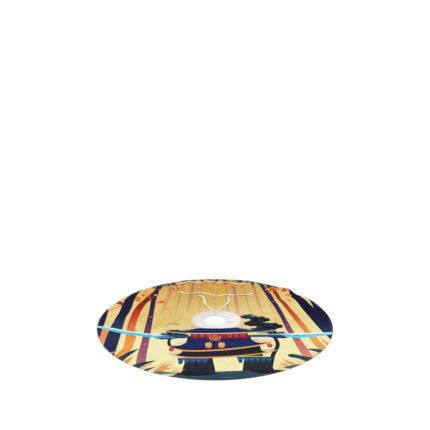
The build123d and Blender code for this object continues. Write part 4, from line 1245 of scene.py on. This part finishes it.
# ------------------------------------------------------------------ ribbon ties
ROUTES = {
    "left_inner_tie": [(-0.018, 0.135), (-0.046, 0.181), (-0.058, 0.232), (-0.062, 0.284), (-0.074, 0.312), (-0.0915, 0.337)],
    "left_middle_tie": [(-0.022, 0.350), (-0.068, 0.368), (-0.110, 0.366), (-0.150, 0.361), (-0.184, 0.374), (-0.2135, 0.3915)],
    "left_outer_tie": [(-0.022, 0.559), (-0.074, 0.547), (-0.112, 0.547), (-0.150, 0.547), (-0.186, 0.532), (-0.2195, 0.5165)],
    "right_inner_tie": [(0.014, 0.118), (0.040, 0.155), (0.060, 0.192), (0.076, 0.230), (0.078, 0.268), (0.0758, 0.3055)],
    "right_middle_tie": [(0.020, 0.332), (0.073, 0.346), (0.112, 0.342), (0.150, 0.336), (0.186, 0.348), (0.2215, 0.3655)],
    "right_outer_tie": [(0.020, 0.548), (0.078, 0.543), (0.116, 0.530), (0.152, 0.518), (0.184, 0.522), (0.2155, 0.5275)],
}
RISES = {  # how a ribbon arches off the cloth along its length: (share of the length, height)
    "left_inner_tie": [(0, 0.0), (0.14, 0.2), (0.32, 4.2), (0.48, 1.0), (0.62, 0.3), (0.8, 3.2), (0.93, 1.2), (1, 2.4)],
    "left_middle_tie": [(0, 0.0), (0.14, 0.1), (0.28, 0.3), (0.46, 3.8), (0.66, 0.5), (0.84, 0.4), (1, 3.4)],
    "left_outer_tie": [(0, 0.0), (0.14, 0.2), (0.27, 2.2), (0.40, 0.5), (0.55, 0.4), (0.75, 4.4), (0.92, 0.6), (1, 0.5)],
    "right_inner_tie": [(0, 0.0), (0.12, 0.2), (0.36, 0.4), (0.56, 4.0), (0.76, 0.5), (0.9, 0.4), (1, 2.6)],
    "right_middle_tie": [(0, 0.0), (0.14, 0.2), (0.26, 2.2), (0.38, 0.4), (0.52, 0.4), (0.7, 3.6), (0.88, 0.6), (1, 1.0)],
    "right_outer_tie": [(0, 0.0), (0.14, 0.2), (0.32, 3.6), (0.52, 0.5), (0.72, 0.4), (0.88, 2.6), (1, 0.6)],
}
ROLLS = {"left_inner_tie": 7, "left_middle_tie": -6, "left_outer_tie": 6, "right_inner_tie": -7, "right_middle_tie": 6, "right_outer_tie": -6}



def even(points, near, far, until):
    """Smooth line through points in space, sampled every `near` for its first stretch and every `far` after."""
    p = np.array(points, float)
    dense = []
    for i in range(len(p) - 1):
        a, b, c, d = p[max(i - 1, 0)], p[i], p[i + 1], p[min(i + 2, len(p) - 1)]
        for j in range(16):
            f = j / 16
            dense.append(0.5 * (2 * b + (c - a) * f + (2 * a - 5 * b + 4 * c - d) * f * f + (3 * b - a - 3 * c + d) * f**3))
    dense.append(p[-1])
    dense = np.array(dense)
    run = np.concatenate([[0], np.cumsum(np.linalg.norm(np.diff(dense, axis=0), axis=1))])
    at = np.concatenate([np.arange(0, until, near), np.linspace(until, run[-1], max(2, int((run[-1] - until) / far)))])
    return np.column_stack([np.interp(at, run, dense[:, k]) for k in range(3)])


for tie, route in ROUTES.items():
    side, place, _ = tie.split("_")
    s = SIDES[side]
    root_y = STATIONS[("inner", "middle", "outer").index(place)] - s * TIE_OFFSET
    # The free length runs straight out from the slit, then eases round to its own line over the cloth.
    free = curve([(s * 0.002, root_y), (s * 0.007, root_y), (s * 0.013, root_y + 0.0006)] + route, step=0.002)
    run = np.concatenate([[0], np.cumsum(np.linalg.norm(np.diff(free, axis=0), axis=1))])
    at = np.linspace(0, run[-1], int(run[-1] / 0.002))
    free = np.column_stack([np.interp(at, run, free[:, k]) for k in range(2)])
    held = free[:4].copy()
    for _ in range(46):
        free[1:-1] = 0.25 * free[:-2] + 0.5 * free[1:-1] + 0.25 * free[2:]
        free[:4] = held
    run = np.concatenate([[0], np.cumsum(np.linalg.norm(np.diff(free, axis=0), axis=1))])
    share = run / run[-1]
    dense = curve(RISES[tie], step=0.02)
    rise = np.maximum(0.15, np.interp(share, dense[:, 0], dense[:, 1])) * MM * smooth((run - 0.006) / 0.02)
    body = np.column_stack([free, height(free[:, 0], free[:, 1]) + Z_FACE + 0.95 * MM + rise])
    for _ in range(12):
        body[1:-1, 2] = 0.25 * body[:-2, 2] + 0.5 * body[1:-1, 2] + 0.25 * body[2:, 2]
    # Sewn-in end under the face, and the turn round the slit's edge.
    lift = body[0, 2]
    head = [(s * 13.5 * MM, root_y, 1.42 * MM), (s * 8 * MM, root_y, 1.42 * MM), (s * 3 * MM, root_y, 1.42 * MM), (s * 1.2 * MM, root_y, 1.48 * MM),
            (s * 0.66 * MM, root_y, 1.95 * MM), (s * 0.56 * MM, root_y, 2.7 * MM), (s * 0.75 * MM, root_y, lift - 0.35 * MM), (s * 1.3 * MM, root_y, lift - 0.05 * MM)]
    line = even([tuple(p) for p in head] + [tuple(p) for p in body], 0.9 * MM, 2.3 * MM, 26 * MM)
    run = np.concatenate([[0], np.cumsum(np.linalg.norm(np.diff(line, axis=0), axis=1))])
    total = run[-1]
    t = np.gradient(line, axis=0)
    t /= np.linalg.norm(t, axis=1)[:, None]
    # Through the turn round the slit's edge the ribbon's width lies along the slit.
    past = np.argmax((line[:, 2] > 3.7 * MM) & (np.abs(line[:, 0]) > 2 * MM))
    turn = smooth((run - run[past] - 0.022) / 0.050)
    across = np.repeat([[0.0, float(s), 0.0]], len(t), 0)
    out_flat = np.arange(len(t)) >= past
    across[out_flat] = np.column_stack([-t[out_flat, 1], t[out_flat, 0], np.zeros(out_flat.sum())])
    normal = np.cross(t, across)
    normal /= np.linalg.norm(normal, axis=1)[:, None]
    across = np.cross(normal, t)
    free_share = np.clip((run - run[past]) / (total - run[past]), 0, 1)
    roll = math.radians(ROLLS[tie]) * np.sin(free_share * math.pi * 2.3) * turn
    half_w, half_t = 6.0 * MM, 0.17 * MM
    us = [-1, -0.985, -0.93, -0.8, -0.5, -0.2, 0.2, 0.5, 0.8, 0.93, 0.985, 1]
    section = [(u, 1.0 if abs(u) < 0.99 else 0.35) for u in us]
    ring = section + [(u, -f) for u, f in reversed(section)]
    verts, plans = [], []
    for i in range(len(line)):
        w = across[i] * math.cos(roll[i]) + normal[i] * math.sin(roll[i])
        up = np.cross(t[i], w)
        # The free end is cut on a slant, so that it doesn't fray.
        cut = 3.0 * MM * smooth((run[i] - (total - 12 * MM)) / (12 * MM))
        for u, f in ring:
            thick = half_t * (1.35 if abs(u) > 0.9 else 1.0)
            cup = (0.15 - 0.35 * u * u) * MM * turn[i]
            verts.append(line[i] + t[i] * (u * cut) + w * (u * half_w) + up * (f * thick) + np.array([0, 0, cup + half_w * abs(math.sin(roll[i]))]))
            plans.append((run[i], u * half_w, 0.0))
    k, n = len(ring), len(line)
    faces = [(i * k + j, (i + 1) * k + j, (i + 1) * k + (j + 1) % k, i * k + (j + 1) % k) for i in range(n - 1) for j in range(k)]
    faces.append(tuple(range(k)))
    faces.append(tuple((n - 1) * k + j for j in reversed(range(k))))
    obj = build(f"{tie}_ribbon", verts, faces, satin, plans)
    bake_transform(obj)
    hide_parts(tie, f"{side}_tie_ends")

# ------------------------------------------------------------------ floor, light, camera
floor_mesh = bpy.data.meshes.new("stage_floor")
S = 30.0
floor_mesh.from_pydata([(-S, -S, -0.0004), (S, -S, -0.0004), (S, S, -0.0004), (-S, S, -0.0004)], [], [(0, 1, 2, 3)])
floor = bpy.data.objects.new("stage_floor", floor_mesh)
bpy.context.scene.collection.objects.link(floor)
fm, fn, fl, fb = new_material("studio_floor")
fb.inputs["Base Color"].default_value = (0.70, 0.70, 0.70, 1)
fb.inputs["Roughness"].default_value = 0.9
fb.inputs["Specular IOR Level"].default_value = 0.1
floor_mesh.materials.append(fm)

world = bpy.data.worlds.new("studio")
bpy.context.scene.world = world
world.use_nodes = True
world.node_tree.nodes["Background"].inputs["Color"].default_value = (1.0, 1.0, 1.0, 1)
world.node_tree.nodes["Background"].inputs["Strength"].default_value = 1.01


def soft_light(name, azimuth, elevation, strength, spread):
    """A far, broad light: a studio softbox that falls evenly over the whole floor."""
    light = bpy.data.lights.new(name, "SUN")
    light.energy = strength
    light.angle = math.radians(spread)
    o = bpy.data.objects.new(name, light)
    a, e = math.radians(azimuth), math.radians(elevation)
    o.location = (4 * math.cos(a) * math.cos(e), 4 * math.sin(a) * math.cos(e), 4 * math.sin(e))
    o.rotation_euler = o.location.to_track_quat("Z", "Y").to_euler()
    bpy.context.scene.collection.objects.link(o)
    return o


soft_light("key", -128, 46, 1.55, 26)
soft_light("fill", 35, 60, 0.40, 60)

camera_data = bpy.data.cameras.new("camera")
camera_data.lens = 50.0
camera_data.sensor_width = 36.0
camera_data.clip_end = 100
camera = bpy.data.objects.new("camera", camera_data)
camera.location = (0.0, -2.905, 1.321)
camera.rotation_euler = (math.radians(90 - 14.4345), 0.0, 0.0)
bpy.context.scene.collection.objects.link(camera)
bpy.context.scene.camera = camera
bpy.context.scene.view_settings.view_transform = "Standard"
bpy.context.scene.view_settings.look = "None"
